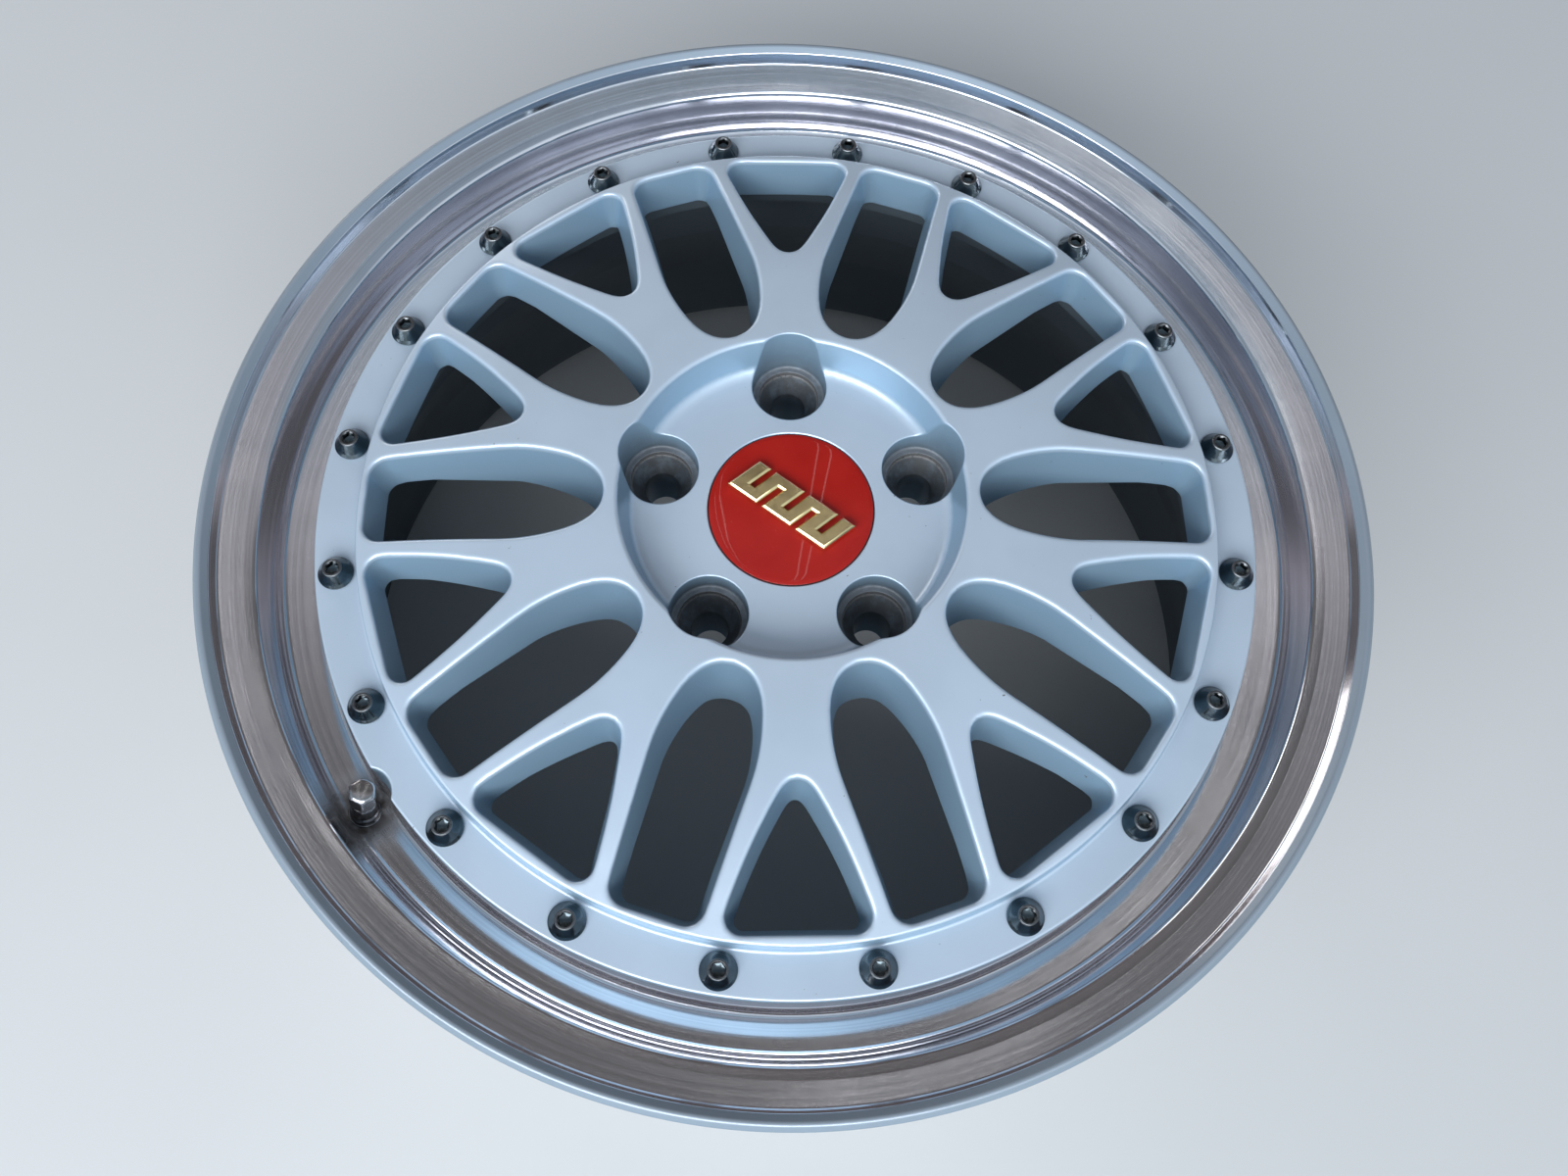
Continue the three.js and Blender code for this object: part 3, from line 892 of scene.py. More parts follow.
def emblem_outline():
    """A slanted block with slots cut in from its long sides in turn, drawn anticlockwise."""
    end, side, slot, floor = EMBLEM_LENGTH / 2, EMBLEM_WIDTH / 2, 1.1, 2.8
    corners = [(-end, -side)]
    for x in (-EMBLEM_PITCH, EMBLEM_PITCH):
        corners += [(x - slot, -side), (x - slot, floor), (x + slot, floor), (x + slot, -side)]
    corners += [(end, -side), (end, side)]
    for x in (2 * EMBLEM_PITCH, 0, -2 * EMBLEM_PITCH):
        corners += [(x + slot, side), (x + slot, -floor), (x - slot, -floor), (x - slot, side)]
    corners.append((-end, side))
    return np.array([(x + EMBLEM_LEAN * y, y) for x, y in corners])


def inset(outline, distance):
    """The outline moved inwards with mitred corners."""
    before = outline - np.roll(outline, 1, 0)
    after = np.roll(outline, -1, 0) - outline
    before /= np.linalg.norm(before, axis=1)[:, None]
    after /= np.linalg.norm(after, axis=1)[:, None]
    normal_in = np.column_stack([-before[:, 1], before[:, 0]])
    normal_out = np.column_stack([-after[:, 1], after[:, 0]])
    mitre = normal_in + normal_out
    mitre /= (1 + (normal_in * normal_out).sum(1))[:, None]
    return outline + distance * mitre


def build_emblem():
    """A generic raised sign with polished bevels."""
    low = RECESS_Z + 0.8
    high = low + 3.2
    outline = emblem_outline()
    edge = [(0.2, low), (0, low + 0.2), (0.1, high - 1), (0.2, high - 0.8), (0.95, high - 0.08), (1.1, high)]
    return capped_skin([at_height(spin(inset(outline, d), EMBLEM_TURN), z) for d, z in edge])


def build_wire_ring(radius, z, wire, opening, count=160):
    """A snap ring of round wire with a gap between its rounded ends."""
    half = math.radians(opening) / 2
    angles = np.linspace(half, math.tau - half, count)
    section = turns(14)
    centre = at_height(ring(radius, angles), z)
    out = at_height(ring(1, angles), 0)
    rows = []
    for size, i in [(0.45, 0)] + [(1, k) for k in range(count)] + [(0.45, count - 1)]:
        shift = np.array([-out[i, 1], out[i, 0], 0]) * (wire * 0.5 * (1 - size))
        shift = -shift if i == 0 else shift
        rows.append(wire_section(centre[i] + shift, out[i], wire * size, section))
    return capped_skin(rows)


def build_hub_ring():
    low = PAD_Z + 0.5
    high = PAD_Z + 15
    inner, outer = 33.55, HUB_BORE_R - GAP
    corners = [
        (inner, low + 1.5, 0.3), (inner + 1.5, low, 0.3), (outer, low, 0.6),
        (outer, low + 3.2, 0.2), (outer - 0.5, low + 3.5, 0.2), (outer - 0.5, high - 3.5, 0.2),
        (outer, high - 3.2, 0.2), (outer, high, 0.6), (inner, high, 0.6),
    ]
    return turned_skin(corners, count=144)


# ---- valve, along its own axis ----

VALVE_FRAME = (
    Matrix.Translation(VALVE_BASE * MM)
    @ Matrix.Rotation(VALVE_ANGLE, 4, "Z")
    @ Matrix.Rotation(-VALVE_TILT, 4, "Y")
)
VALVE_TOP = 23
CORE_R = 2.2
PIN_R = 0.7
CAP_PITCH = 0.79375


def thread_rows(radius, low, high, pitch, depth, angles):
    """Rows of a screw thread, its crest winding round once each pitch."""
    rows = []
    for z in np.arange(low, high, pitch / 6):
        phase = (z / pitch - angles / math.tau) % 1
        fade = min(1, (z - low) / pitch, (high - z) / pitch)
        crest = radius - depth * fade * np.abs(2 * phase - 1)
        rows.append(at_height(ring(1, angles) * crest[:, None], z))
    return rows


def build_stem():
    angles = turns(48)
    lower, _ = rounded(
        [
            (CORE_R + GAP, 1), (1.6, 0), (1.6, -11.6), (6, -11.6, 0.4), (7, -10.6, 0.4),
            (7, -8.6, 0.5), (4, -8.6, 0.3), (4, 14), (3.72, 14.3),
        ]
    )
    top = [(3.4, VALVE_TOP - 0.2), (3.2, VALVE_TOP), (2.8, VALVE_TOP), (CORE_R + GAP, VALVE_TOP - 0.3)]
    rows = circles(lower, angles)
    rows += thread_rows(3.72, 14.4, VALVE_TOP - 0.4, CAP_PITCH, 0.42, angles)
    rows += circles(top, angles)
    skin = Skin()
    skin.strips(rows, closed=True)
    return skin


def build_valve_cap():
    """Hexagonal cap with a turned crown and a bore for the thread."""
    across = 9.4
    corner = across / math.sqrt(3) - 0.12
    turn = math.radians(28)
    angles = turns(72)
    sides = [(14.6, 4.75), (14.95, corner), (23.1, corner), (23.75, 5.0), (24.2, 4.65)]
    rows = circles([(4.05, 14.9), (4.3, 14.6)], angles)
    rows += [hexagon_row(across, z, angles, limit) for z, limit in sides]
    rows += circles([(4.1, 24.75), (3.6, 25), (0, 25)], angles)
    skin = Skin()
    skin.strips(rows)
    skin.strips(circles([(4.05, 14.9), (4.05, 23.6), (3.9, 23.9), (0, 23.9)], angles))
    for i, row in enumerate(skin.points):
        skin.points[i] = np.column_stack([spin(row[:, :2], math.degrees(turn)), row[:, 2]])
    return skin


def build_core_spring():
    """Coil of fine wire between the core's floor and the pin's collar."""
    coils, wire, radius, low, high = 6, 0.17, 1.25, 6.4, 12.4
    steps = coils * 20
    section = turns(10)
    rows = []
    for k in range(steps + 1):
        a = math.tau * coils * k / steps
        out = np.array([math.cos(a), math.sin(a), 0])
        centre = out * radius + np.array([0, 0, low + (high - low) * k / steps])
        rows.append(wire_section(centre, out, wire, section))
    return capped_skin(rows)


# ---- materials ----


class Finish:
    """A node material, its shader and short calls that add nodes to it."""

    def __init__(self, name, colour, metal, rough):
        self.material = bpy.data.materials.new(name)
        self.material.use_nodes = True
        self.tree = self.material.node_tree
        self.shader = self.tree.nodes["Principled BSDF"]
        self.shader.inputs["Base Color"].default_value = (*colour, 1)
        self.shader.inputs["Metallic"].default_value = metal
        self.shader.inputs["Roughness"].default_value = rough
        coordinates = self.tree.nodes.new("ShaderNodeTexCoord").outputs
        self.place, self.normal = coordinates["Object"], coordinates["Normal"]

    def add(self, kind, inputs=(), **settings):
        node = self.tree.nodes.new("ShaderNode" + kind)
        for key, value in settings.items():
            setattr(node, key, value)
        for key, value in dict(inputs).items():
            if isinstance(value, bpy.types.NodeSocket):
                self.tree.links.new(value, node.inputs[key])
            else:
                node.inputs[key].default_value = value
        return node

    def calc(self, operation, a, b=0.0, clamp=False):
        return self.add("Math", {0: a, 1: b}, operation=operation, use_clamp=clamp).outputs[0]

    def noise(self, scale, detail=3.0, rough=0.5, vector=None):
        """Noise with that many bumps to the metre."""
        inputs = {"Vector": vector or self.place, "Scale": scale, "Detail": detail, "Roughness": rough}
        return self.add("TexNoise", inputs).outputs["Fac"]

    def ramp(self, value, low, high, out_low=0.0, out_high=1.0):
        inputs = {"Value": value, "From Min": low, "From Max": high, "To Min": out_low, "To Max": out_high}
        return self.add("MapRange", inputs, interpolation_type="SMOOTHSTEP").outputs["Result"]

    def mix(self, factor, a, b):
        """Colour a where the factor is 0 and b where it is 1."""
        node = self.add("Mix", {"Factor": factor}, data_type="RGBA")
        for socket, colour in ((node.inputs[6], a), (node.inputs[7], b)):
            if isinstance(colour, bpy.types.NodeSocket):
                self.tree.links.new(colour, socket)
            else:
                socket.default_value = (*colour, 1)
        return node.outputs[2]

    def attribute(self, name):
        return self.add("Attribute", attribute_name=name).outputs["Fac"]

    def from_axis(self):
        return self.add("VectorMath", {0: self.place, 1: (1, 1, 0)}, operation="MULTIPLY").outputs[0]

    def radius(self):
        """Distance from the wheel's axis in metres."""
        return self.add("VectorMath", {0: self.from_axis()}, operation="LENGTH").outputs["Value"]

    def direction(self, size):
        """A vector of that size from the wheel's axis towards the point."""
        unit = self.add("VectorMath", {0: self.from_axis()}, operation="NORMALIZE").outputs[0]
        return self.add("VectorMath", {0: unit, "Scale": size}, operation="SCALE").outputs[0]

    def turned_coordinates(self, along=0.4):
        """(radius, height) with a little of the direction, so that noise on it runs round the wheel like
        lathe marks."""
        split = self.add("SeparateXYZ", {0: self.place})
        profile = self.add("CombineXYZ", {"Y": self.radius(), "Z": split.outputs["Z"]}).outputs[0]
        parts = {0: profile, 1: self.direction(along * MM)}
        return self.add("VectorMath", parts, operation="ADD").outputs[0]

    def bump(self, height, distance, strength=1.0, under=None):
        """Bump of that height in metres."""
        inputs = {"Height": height, "Distance": distance, "Strength": strength}
        if under:
            inputs["Normal"] = under
        return self.add("Bump", inputs).outputs["Normal"]

    def set(self, **inputs):
        for key, value in inputs.items():
            socket = self.shader.inputs[key.replace("_", " ")]
            if isinstance(value, bpy.types.NodeSocket):
                self.tree.links.new(value, socket)
            else:
                socket.default_value = value
        return self.material


def silver_paint(name, colour, side_shade_colour, rough=0.36, grime_and_shade_colour=(0.035, 0.027, 0.022)):
    """Metallic paint with fine flake, mottling, specks and worn metal. Upright faces take a darker, bluer
    painted shade, round edges a painted highlight, and the grime weight a stain that deepens into painted
    shade in the lug pockets."""
    f = Finish(name, colour, 0.35, rough)
    cloud = f.noise(22, 4)
    fine = f.noise(2600, 1)
    speck = f.ramp(f.noise(420, 2, 0.7), 0.735, 0.77)
    sparse = f.ramp(f.noise(30, 2), 0.5, 0.62)
    edge = f.attribute("edge")
    grime = f.attribute("grime")
    worn = f.calc("MULTIPLY", f.attribute("worn"), f.ramp(f.noise(700, 3, 0.6), 0.3, 0.5))
    # Dirt from the grime weight, which deep in the lug pockets is also painted shade.
    grime_and_shade = f.calc("MULTIPLY", grime, f.ramp(f.noise(150, 4, 0.65), 0.15, 0.6, 0.75, 1.0), clamp=True)
    upright = f.calc("ABSOLUTE", f.add("SeparateXYZ", {0: f.normal}).outputs["Z"])
    base = f.mix(f.ramp(cloud, 0.3, 0.7), tuple(0.93 * c for c in colour), colour)
    # Painted shade: upright faces take the darker, bluer side colour instead of the paint's own.
    base = f.mix(f.ramp(upright, 0.25, 0.95, 1, 0), base, side_shade_colour)
    # Painted highlight: round edges take a brighter copy of the colour.
    base = f.mix(f.calc("MULTIPLY", edge, 0.5), base, tuple(min(1, 1.12 * c) for c in colour))
    base = f.mix(f.calc("MULTIPLY", speck, sparse), base, (0.13, 0.12, 0.11))
    # Dirt, and painted shade in the lug pockets.
    base = f.mix(grime_and_shade, base, grime_and_shade_colour)
    base = f.mix(f.calc("MULTIPLY", worn, 0.6), base, (0.42, 0.40, 0.39))
    roughness = f.ramp(fine, 0.3, 0.7, rough - 0.05, rough + 0.05)
    roughness = f.calc("ADD", roughness, f.calc("MULTIPLY", grime_and_shade, 0.25))
    metal = f.calc("SUBTRACT", 0.35, f.calc("MULTIPLY", grime_and_shade, 0.3), clamp=True)
    metal = f.calc("ADD", metal, f.calc("MULTIPLY", worn, 0.6), clamp=True)
    normal = f.bump(fine, 0.00001, 0.4)
    normal = f.bump(f.noise(160, 3), 0.00003, 0.3, normal)
    f.shader.inputs["Coat Weight"].default_value = 0.2
    f.shader.inputs["Coat Roughness"].default_value = 0.16
    return f.set(Base_Color=base, Roughness=roughness, Metallic=metal, Normal=normal)


def polished_metal():
    """Lathe-turned polished alloy: rings of fine marks, painted highlight fans, pits and stains near the
    valve.
    """
    f = Finish("polished_lip", (0.7, 0.67, 0.68), 1.0, 0.14)
    turned = f.turned_coordinates()
    marks = f.noise(5200, 3, 0.7, turned)
    bands = f.noise(420, 2, 0.5, turned)
    lines = f.noise(1100, 4, 0.75, turned)
    # Painted highlights: brighter fans of colour round the wheel, fixed to the metal.
    fan_highlights = f.ramp(f.noise(3.2, 3, 0.55, f.direction(1.0)), 0.35, 0.65)
    haze = f.noise(60, 4, 0.6)
    pit = f.ramp(f.noise(900, 2, 0.6), 0.74, 0.78)
    stain = f.ramp(f.noise(110, 3, 0.6), 0.2, 0.6, 0.45, 1)
    bloom = f.calc("MULTIPLY", f.attribute("grime"), stain, clamp=True)
    base = f.mix(f.ramp(bands, 0.35, 0.65), (0.87, 0.87, 0.91), (0.76, 0.76, 0.80))
    base = f.mix(f.ramp(lines, 0.36, 0.62, 0.4, 0), base, (0.45, 0.45, 0.48))
    # Painted highlight in the fans.
    base = f.mix(f.calc("MULTIPLY", fan_highlights, 0.45), base, (0.97, 0.96, 0.99))
    base = f.mix(f.ramp(haze, 0.5, 0.8, 0, 0.12), base, (0.55, 0.51, 0.51))
    base = f.mix(f.calc("MULTIPLY", pit, 0.6), base, (0.2, 0.18, 0.17))
    base = f.mix(bloom, base, (0.055, 0.04, 0.032))
    rough = f.calc("ADD", f.ramp(marks, 0.3, 0.7, 0.05, 0.11), f.ramp(fan_highlights, 0, 1, 0.03, 0))
    rough = f.calc("ADD", rough, f.calc("MULTIPLY", bloom, 0.3), clamp=True)
    metal = f.calc("SUBTRACT", 1.0, f.calc("MULTIPLY", bloom, 0.6), clamp=True)
    normal = f.bump(marks, 0.000006, 0.6)
    normal = f.bump(lines, 0.00001, 0.5, normal)
    return f.set(Base_Color=base, Roughness=rough, Metallic=metal, Normal=normal, Anisotropic=0.35)


def turned_alloy():
    """Satin alloy with fine turned rings and a little tyre rubber rubbed in."""
    f = Finish("bare_alloy", (0.5, 0.5, 0.51), 1.0, 0.45)
    turned = f.turned_coordinates()
    marks = f.noise(1500, 4, 0.7, turned)
    rubbed = f.ramp(f.noise(260, 3, 0.6, turned), 0.5, 0.75, 0, 0.35)
    base = f.mix(f.ramp(marks, 0.35, 0.65), (0.42, 0.42, 0.43), (0.54, 0.54, 0.55))
    base = f.mix(rubbed, base, (0.16, 0.15, 0.15))
    roughness = f.ramp(marks, 0.3, 0.7, 0.4, 0.5)
    return f.set(Base_Color=base, Roughness=roughness, Normal=f.bump(marks, 0.00002, 0.5))


def plain_metal(name, colour, rough, spread, scale, dust=0.0):
    """Metal with uneven gloss, fine scratches and some dust."""
    f = Finish(name, colour, 1.0, rough)
    cloud = f.noise(scale, 4, 0.6)
    scratch = f.noise(scale * 8, 2, 0.6)
    base = f.mix(f.ramp(cloud, 0.3, 0.7), tuple(0.8 * c for c in colour), colour)
    if dust:
        base = f.mix(f.ramp(f.noise(scale * 2, 5, 0.7), 0.5, 0.72, 0, dust), base, (0.2, 0.17, 0.14))
    roughness = f.ramp(cloud, 0.25, 0.75, rough - spread, rough + spread)
    normal = f.bump(scratch, 0.000008, 0.5)
    return f.set(Base_Color=base, Roughness=roughness, Normal=normal)


def black_chrome():
    """Dark plating, rubbed grey on the ring round the socket, with faint smears and dust."""
    f = Finish("black_chrome", (0.1, 0.125, 0.14), 1.0, 0.16)
    smear = f.noise(90, 4, 0.6)
    grain = f.noise(1500, 3, 0.6)
    rubbed = f.calc("MULTIPLY", f.attribute("worn"), f.ramp(grain, 0.3, 0.6, 0.4, 0.9), clamp=True)
    base = f.mix(f.ramp(smear, 0.3, 0.7), (0.075, 0.095, 0.105), (0.115, 0.14, 0.155))
    base = f.mix(rubbed, base, (0.2, 0.2, 0.205))
    base = f.mix(f.ramp(f.noise(260, 4, 0.7), 0.55, 0.75, 0, 0.25), base, (0.16, 0.155, 0.15))
    rough = f.calc("ADD", f.ramp(smear, 0.3, 0.7, 0.12, 0.2), f.calc("MULTIPLY", rubbed, 0.25), clamp=True)
    return f.set(Base_Color=base, Roughness=rough, Normal=f.bump(grain, 0.000006, 0.4))


def moulded(name, colour, rough):
    """Plastic or rubber with a fine moulded grain."""
    f = Finish(name, colour, 0.0, rough)
    cloud = f.noise(60, 4, 0.6)
    base = f.mix(f.ramp(cloud, 0.3, 0.7), tuple(0.75 * c for c in colour), tuple(1.2 * c for c in colour))
    normal = f.bump(f.noise(900, 2), 0.00003, 0.4)
    roughness = f.ramp(cloud, 0.3, 0.7, rough - 0.08, rough + 0.1)
    return f.set(Base_Color=base, Roughness=roughness, Normal=normal)


def red_lacquer():
    """Deep red under a clear coat with faint orange peel, hairline scratches and dust."""
    f = Finish("red_lacquer", (0.36, 0.009, 0.005), 0.0, 0.4)
    depth = f.noise(40, 3)
    scratch = f.ramp(f.noise(700, 2, 0.4), 0.66, 0.7)
    dust = f.ramp(f.noise(1600, 2, 0.5), 0.72, 0.76)
    base = f.mix(f.ramp(depth, 0.3, 0.7), (0.33, 0.007, 0.004), (0.38, 0.010, 0.006))
    base = f.mix(f.calc("MULTIPLY", dust, 0.3), base, (0.6, 0.3, 0.28))
    rough = f.calc("ADD", f.ramp(depth, 0.3, 0.7, 0.3, 0.4), f.calc("MULTIPLY", scratch, 0.15))
    normal = f.bump(f.noise(260, 2), 0.00001, 0.25)
    f.shader.inputs["Coat Weight"].default_value = 1.0
    f.shader.inputs["Coat Roughness"].default_value = 0.015
    f.shader.inputs["Coat IOR"].default_value = 1.38
    f.shader.inputs["Specular IOR Level"].default_value = 0.15
    return f.set(Base_Color=base, Roughness=rough, Normal=normal)


# ---- wear by place ----


def paint_weight(mesh, name, rule):
    """Stores a number from 0 to 1 at each vertex. rule takes the points in millimetres."""
    points = np.empty(len(mesh.vertices) * 3)
    mesh.vertices.foreach_get("co", points)
    layer = mesh.attributes.new(name, "FLOAT", "POINT")
    layer.data.foreach_set("value", np.clip(rule(points.reshape(-1, 3) / MM), 0.0, 1.0))


def disc_edge_highlight(points):
    """Weight of the painted highlight on the round front edges of the windows."""
    drop = front_height(points[:, :2]) - points[:, 2]
    gap = window_gap(points[:, :2])
    on_edge = (gap > -0.2) & (gap < WINDOW_FILLET) & (drop < WINDOW_FILLET + 0.1)
    return np.where(on_edge, 1 - gap / WINDOW_FILLET, 0)


def disc_grime_and_shade(points):
    """Dirt and painted shade darken the lug pockets towards their seats, and the scoop is stained."""
    near = lug_gap(points[:, :2], 0)
    z = points[:, 2]
    # Darker with depth in the pockets: dirt and painted shade.
    pocket = np.where(near < LUG_POCKET_R + 0.4, np.clip((87 - z) / 13, 0, 0.9), 0)
    pocket = np.where(z < PAD_Z + 2, 0, pocket)
    valve = np.linalg.norm(points - np.array(VALVE_BASE), axis=1)
    return np.maximum(pocket, (22 - valve) / 12 * 0.6)


def disc_worn(points):
    """Bare metal round each lug seat, where the nuts rub."""
    near = lug_gap(points[:, :2], 0)
    return (near < LUG_SEAT_R + 0.15) & (near > LUG_SEAT_R - 0.5) & (points[:, 2] > 70)


def socket_worn(points):
    """The rolled ring round a bolt's socket."""
    return points[:, 2] > DISC_FLANGE_Z + 5.9


def rim_grime(points):
    valve = np.linalg.norm(points - np.array(VALVE_BASE), axis=1)
    return (20 - valve) / 12


# ---- the object ----


def make_wheel():
    # Each silver paint's second colour is the painted shade on its upright faces.
    paint = silver_paint("silver_paint", (0.56, 0.655, 0.765), (0.27, 0.40, 0.52))
    polish = polished_metal()
    # A darker copy of the silver paint: painted shade on the rim's painted edge.
    edge = silver_paint("shaded_edge_paint", (0.31, 0.36, 0.42), (0.17, 0.25, 0.32))
    bare = turned_alloy()
    # A dark copy of the silver paint: brake dust and painted shade inside the barrel.
    inner = silver_paint("shaded_dusty_inner_paint", (0.13, 0.16, 0.18), (0.10, 0.125, 0.145), 0.5)

    mesh = build_disc().mesh("wheel_disc_skin")
    # The edge weight places the painted highlight on round edges.
    paint_weight(mesh, "edge", disc_edge_highlight)
    # The grime weight is dirt, with painted shade deep in the lug pockets.
    paint_weight(mesh, "grime", disc_grime_and_shade)
    paint_weight(mesh, "worn", disc_worn)
    piece("wheel_disc_skin", mesh, "wheel", "disc_silver", [paint], "wheel_disc")

    finishes = ["polish", "edge", "bare", "inner"]
    mesh = build_rim().mesh("rim_skin", finishes)
    # No painted edge highlight on the rim.
    paint_weight(mesh, "edge", lambda points: np.zeros(len(points)))
    paint_weight(mesh, "grime", rim_grime)
    piece("rim_skin", mesh, "wheel", "rim_polished", [polish, edge, bare, inner], "rim_barrel")


def make_fasteners():
    chrome = black_chrome()
    zinc = plain_metal("zinc", (0.42, 0.43, 0.44), 0.4, 0.08, 400, dust=0.35)
    for nodes, build, finish, slot in (
        (BOLT_NODES, build_bolt, chrome, "bolt_black_chrome"),
        (NUT_NODES, build_nut, zinc, "nut_zinc"),
    ):
        skin = build()
        for node in nodes:
            spot = middle_mm(node)
            turn = Matrix.Rotation(random.uniform(0, math.tau), 4, "Z")
            place = Matrix.Translation((spot.x * MM, spot.y * MM, 0)) @ turn
            mesh = skin.mesh(node + "_skin", matrix=place)
            paint_weight(mesh, "worn", socket_worn)
            piece(node + "_skin", mesh, "wheel", slot, [finish], node)


def make_cap():
    black = moulded("black_plastic", (0.02, 0.02, 0.022), 0.45)
    gold = plain_metal("gold_plate", (0.98, 0.78, 0.4), 0.2, 0.06, 160)
    steel = plain_metal("spring_steel", (0.5, 0.51, 0.53), 0.28, 0.08, 500)
    grey = moulded("grey_plastic", (0.09, 0.1, 0.11), 0.5)
    spring_ring = build_wire_ring(26, 78, 0.68, 8)
    hub_clip = build_wire_ring(39.8, PAD_Z + 16.3, 0.86, 12)
    for name, skin, body, slot, finish, node in (
        ("cap_body", build_cap_body(), "centre_cap", "black_plastic", black, "centre_cap_body"),
        ("cap_face", build_cap_face(), "centre_cap", "cap_red", red_lacquer(), "centre_cap_face"),
        ("cap_emblem", build_emblem(), "centre_cap", "cap_gold", gold, "centre_cap_emblem"),
        ("cap_spring_ring", spring_ring, "centre_cap", "spring_steel", steel, "centre_cap_spring_ring"),
        ("hub_ring", build_hub_ring(), "wheel", "ring_plastic", grey, "hub_centring_ring"),
        ("hub_clip", hub_clip, "wheel", "spring_steel", steel, "hub_ring_clip"),
    ):
        piece(name + "_skin", skin.mesh(name), body, slot, [finish], node)


def make_valve():
    chrome = plain_metal("valve_chrome", (0.6, 0.6, 0.61), 0.13, 0.06, 500, dust=0.2)
    dark = plain_metal("valve_dark_chrome", (0.2, 0.2, 0.21), 0.2, 0.07, 500, dust=0.45)
    brass = plain_metal("brass", (0.72, 0.5, 0.2), 0.3, 0.08, 400, dust=0.2)
    steel = plain_metal("core_steel", (0.5, 0.5, 0.52), 0.3, 0.08, 500)
    rubber = moulded("rubber", (0.02, 0.02, 0.02), 0.65)
    hole = 4 + GAP
    under = VALVE_TOP + 0.3
    seal = [(hole, -8.3, 0.5), (6.6, -8.3, 0.9), (6.6, -5.3, 0.9), (hole, -5.3, 0.5)]
    washer = [(hole, GAP, 0.1), (6.2, GAP, 0.2), (6.2, 1.3, 0.3), (hole, 1.3, 0.1)]
    cap_seal = [(0, under), (3.6, under, 0.1), (3.6, under + 0.4, 0.1), (0, under + 0.4)]
    nut = [
        (hole, 1.6, 0.2), (5.2, 1.6, 0.25), (5.6, 2.6, 0.4), (5.5, 4, 0.8), (4.9, 5.2, 0.8),
        (4.9, 12.6, 0.3), (4.6, 13.7, 0.3), (hole, 13.9),
    ]
    core = [
        (PIN_R + GAP, 5, 0.1), (CORE_R, 5, 0.3), (CORE_R, 9, 0.2), (CORE_R - 0.25, 9.4, 0.2),
        (CORE_R - 0.25, 16, 0.2), (CORE_R, 16.4, 0.2), (CORE_R, 21, 0.2), (1.7, 21, 0.1),
        (1.7, 6, 0.2), (PIN_R + GAP, 6, 0.1),
    ]
    pin = [
        (0, 3.2), (1.9, 3.2, 0.2), (1.9, 4.6, 0.3), (PIN_R, 4.6, 0.2), (PIN_R, 12.7, 0.1),
        (1.4, 12.7, 0.1), (1.4, 13.3, 0.1), (PIN_R, 13.3, 0.1), (PIN_R, 22.6, 0.3), (0, 22.6),
    ]
    pieces = [
        ("valve_stem", build_stem(), "wheel", "valve_brass", brass),
        ("valve_nut", turned_skin(nut), "wheel", "valve_chrome", dark),
        ("valve_seal", turned_skin(seal), "wheel", "rubber", rubber),
        ("valve_washer", turned_skin(washer), "wheel", "valve_chrome", dark),
        ("valve_core_body", turned_skin(core), "wheel", "valve_brass", brass),
        ("valve_core_spring", build_core_spring(), "wheel", "spring_steel", steel),
        ("valve_core_pin", turned_skin(pin, closed=False), "valve_core_pin", "valve_brass", brass),
        ("valve_cap", build_valve_cap(), "valve_cap", "valve_chrome", chrome),
        ("valve_cap_seal", turned_skin(cap_seal, closed=False), "valve_cap_carrier", "rubber", rubber),
    ]
    for node, skin, body, slot, finish in pieces:
        mesh = skin.mesh(node + "_skin", matrix=VALVE_FRAME)
        piece(node + "_skin", mesh, body, slot, [finish], node)


# ---- stage ----


def make_stage():
    half = 12.0
    z = CAD_BOX[0][2]
    mesh = bpy.data.meshes.new("floor")
    corners = [(-half, -half, z), (half, -half, z), (half, half, z), (-half, half, z)]
    mesh.from_pydata(corners, [], [(0, 1, 2, 3)])
    f = Finish("pale_floor", (0.6, 0.6, 0.6), 0.0, 0.8)
    tone = f.mix(f.ramp(f.noise(3, 3), 0.3, 0.7), (0.59, 0.59, 0.59), (0.61, 0.61, 0.61))
    mesh.materials.append(f.set(Base_Color=tone))
    floor = bpy.data.objects.new("floor", mesh)
    bpy.context.scene.collection.objects.link(floor)


def add_softbox(name, place, width, height, power, colour=(1, 1, 1)):
    """A soft light that faces the wheel."""
    light = bpy.data.lights.new(name, "AREA")
    light.shape = "RECTANGLE"
    light.size = width
    light.size_y = height
    light.energy = power
    light.color = colour
    lamp = bpy.data.objects.new(name, light)
    lamp.location = place
    lamp.rotation_euler = (-Vector(place)).to_track_quat("-Z", "Y").to_euler()
    bpy.context.scene.collection.objects.link(lamp)


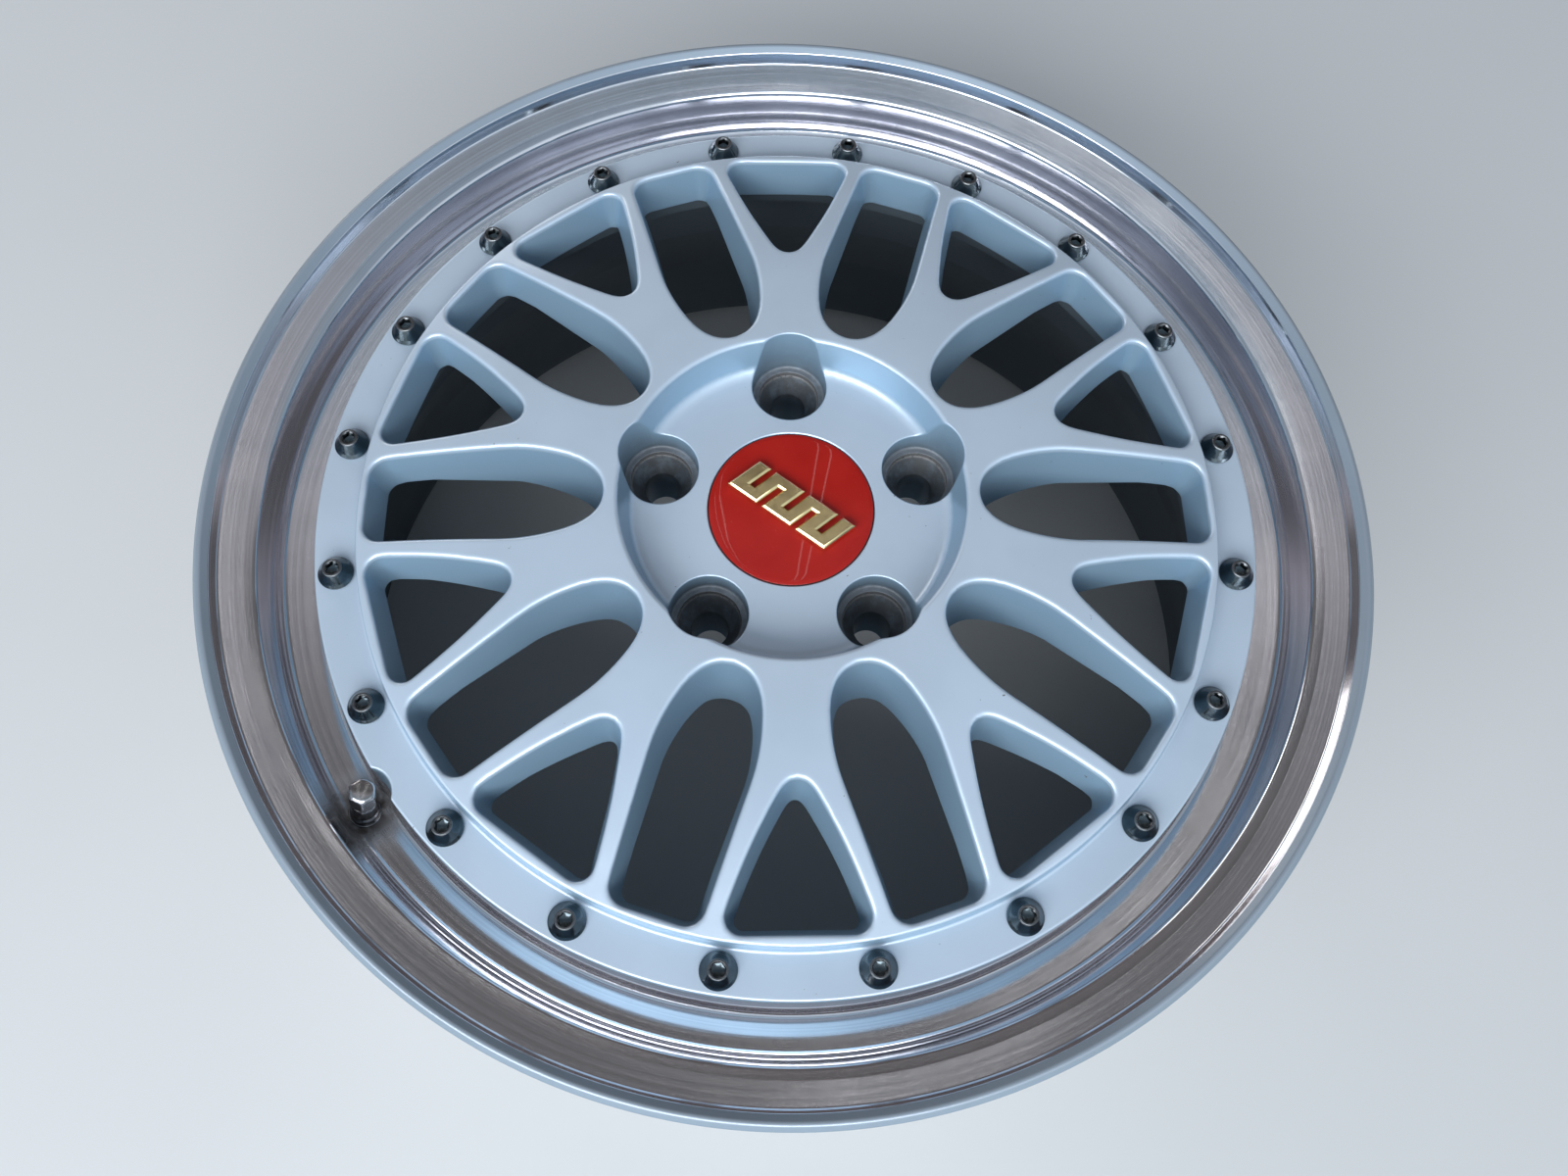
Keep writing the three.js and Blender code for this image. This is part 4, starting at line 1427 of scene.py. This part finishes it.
def make_light():
    """Daylight from the near side, a warm dim far side, and thin tubes overhead."""
    world = bpy.data.worlds.new("studio")
    bpy.context.scene.world = world
    world.use_nodes = True
    nodes, links = world.node_tree.nodes, world.node_tree.links
    split = nodes.new("ShaderNodeSeparateXYZ")
    shift = nodes.new("ShaderNodeMapRange")
    shift.inputs["From Min"].default_value = -1
    ramp = nodes.new("ShaderNodeValToRGB").color_ramp
    tones = [(0, (0.85, 0.96, 1.05)), (0.28, (0.62, 0.72, 0.82)), (0.5, (0.25, 0.30, 0.36))]
    tones += [(0.6, (0.23, 0.30, 0.37)), (0.65, (0.26, 0.30, 0.34)), (0.69, (0.36, 0.35, 0.375))]
    tones += [(0.725, (0.13, 0.13, 0.135)), (1, (0.12, 0.10, 0.10))]
    while len(ramp.elements) < len(tones):
        ramp.elements.new(0.5)
    for element, (place, colour) in zip(ramp.elements, tones):
        element.position = place
        element.color = (*colour, 1)
    links.new(nodes.new("ShaderNodeTexCoord").outputs["Generated"], split.inputs[0])
    links.new(split.outputs["Y"], shift.inputs["Value"])
    links.new(shift.outputs["Result"], nodes["Color Ramp"].inputs["Fac"])
    links.new(nodes["Color Ramp"].outputs["Color"], nodes["Background"].inputs["Color"])
    nodes["Background"].inputs["Strength"].default_value = 1.0
    add_softbox("near_softbox", (-0.5, -1.5, 1.3), 2.4, 0.9, 50, (0.92, 0.965, 1.0))
    add_softbox("far_softbox", (-0.9, 1.6, 0.8), 0.8, 0.3, 4, (1.0, 0.96, 0.93))
    for x in (-0.17, -0.135, 0.13, 0.165):
        add_softbox("tube", (x, 0.75, 1.5), 0.004, 1.1, 0.035)


def make_camera():
    bpy.context.scene.view_settings.view_transform = "Standard"
    data = bpy.data.cameras.new("camera")
    data.sensor_width = 36
    data.lens = 28.06
    camera = bpy.data.objects.new("camera", data)
    camera.location = (-0.0218, -0.2112, 0.5457)
    camera.rotation_euler = (math.radians(20.95), math.radians(-2.01), math.radians(-0.73))
    bpy.context.scene.collection.objects.link(camera)
    bpy.context.scene.camera = camera


make_wheel()
make_fasteners()
make_cap()
make_valve()
make_stage()
make_light()
make_camera()
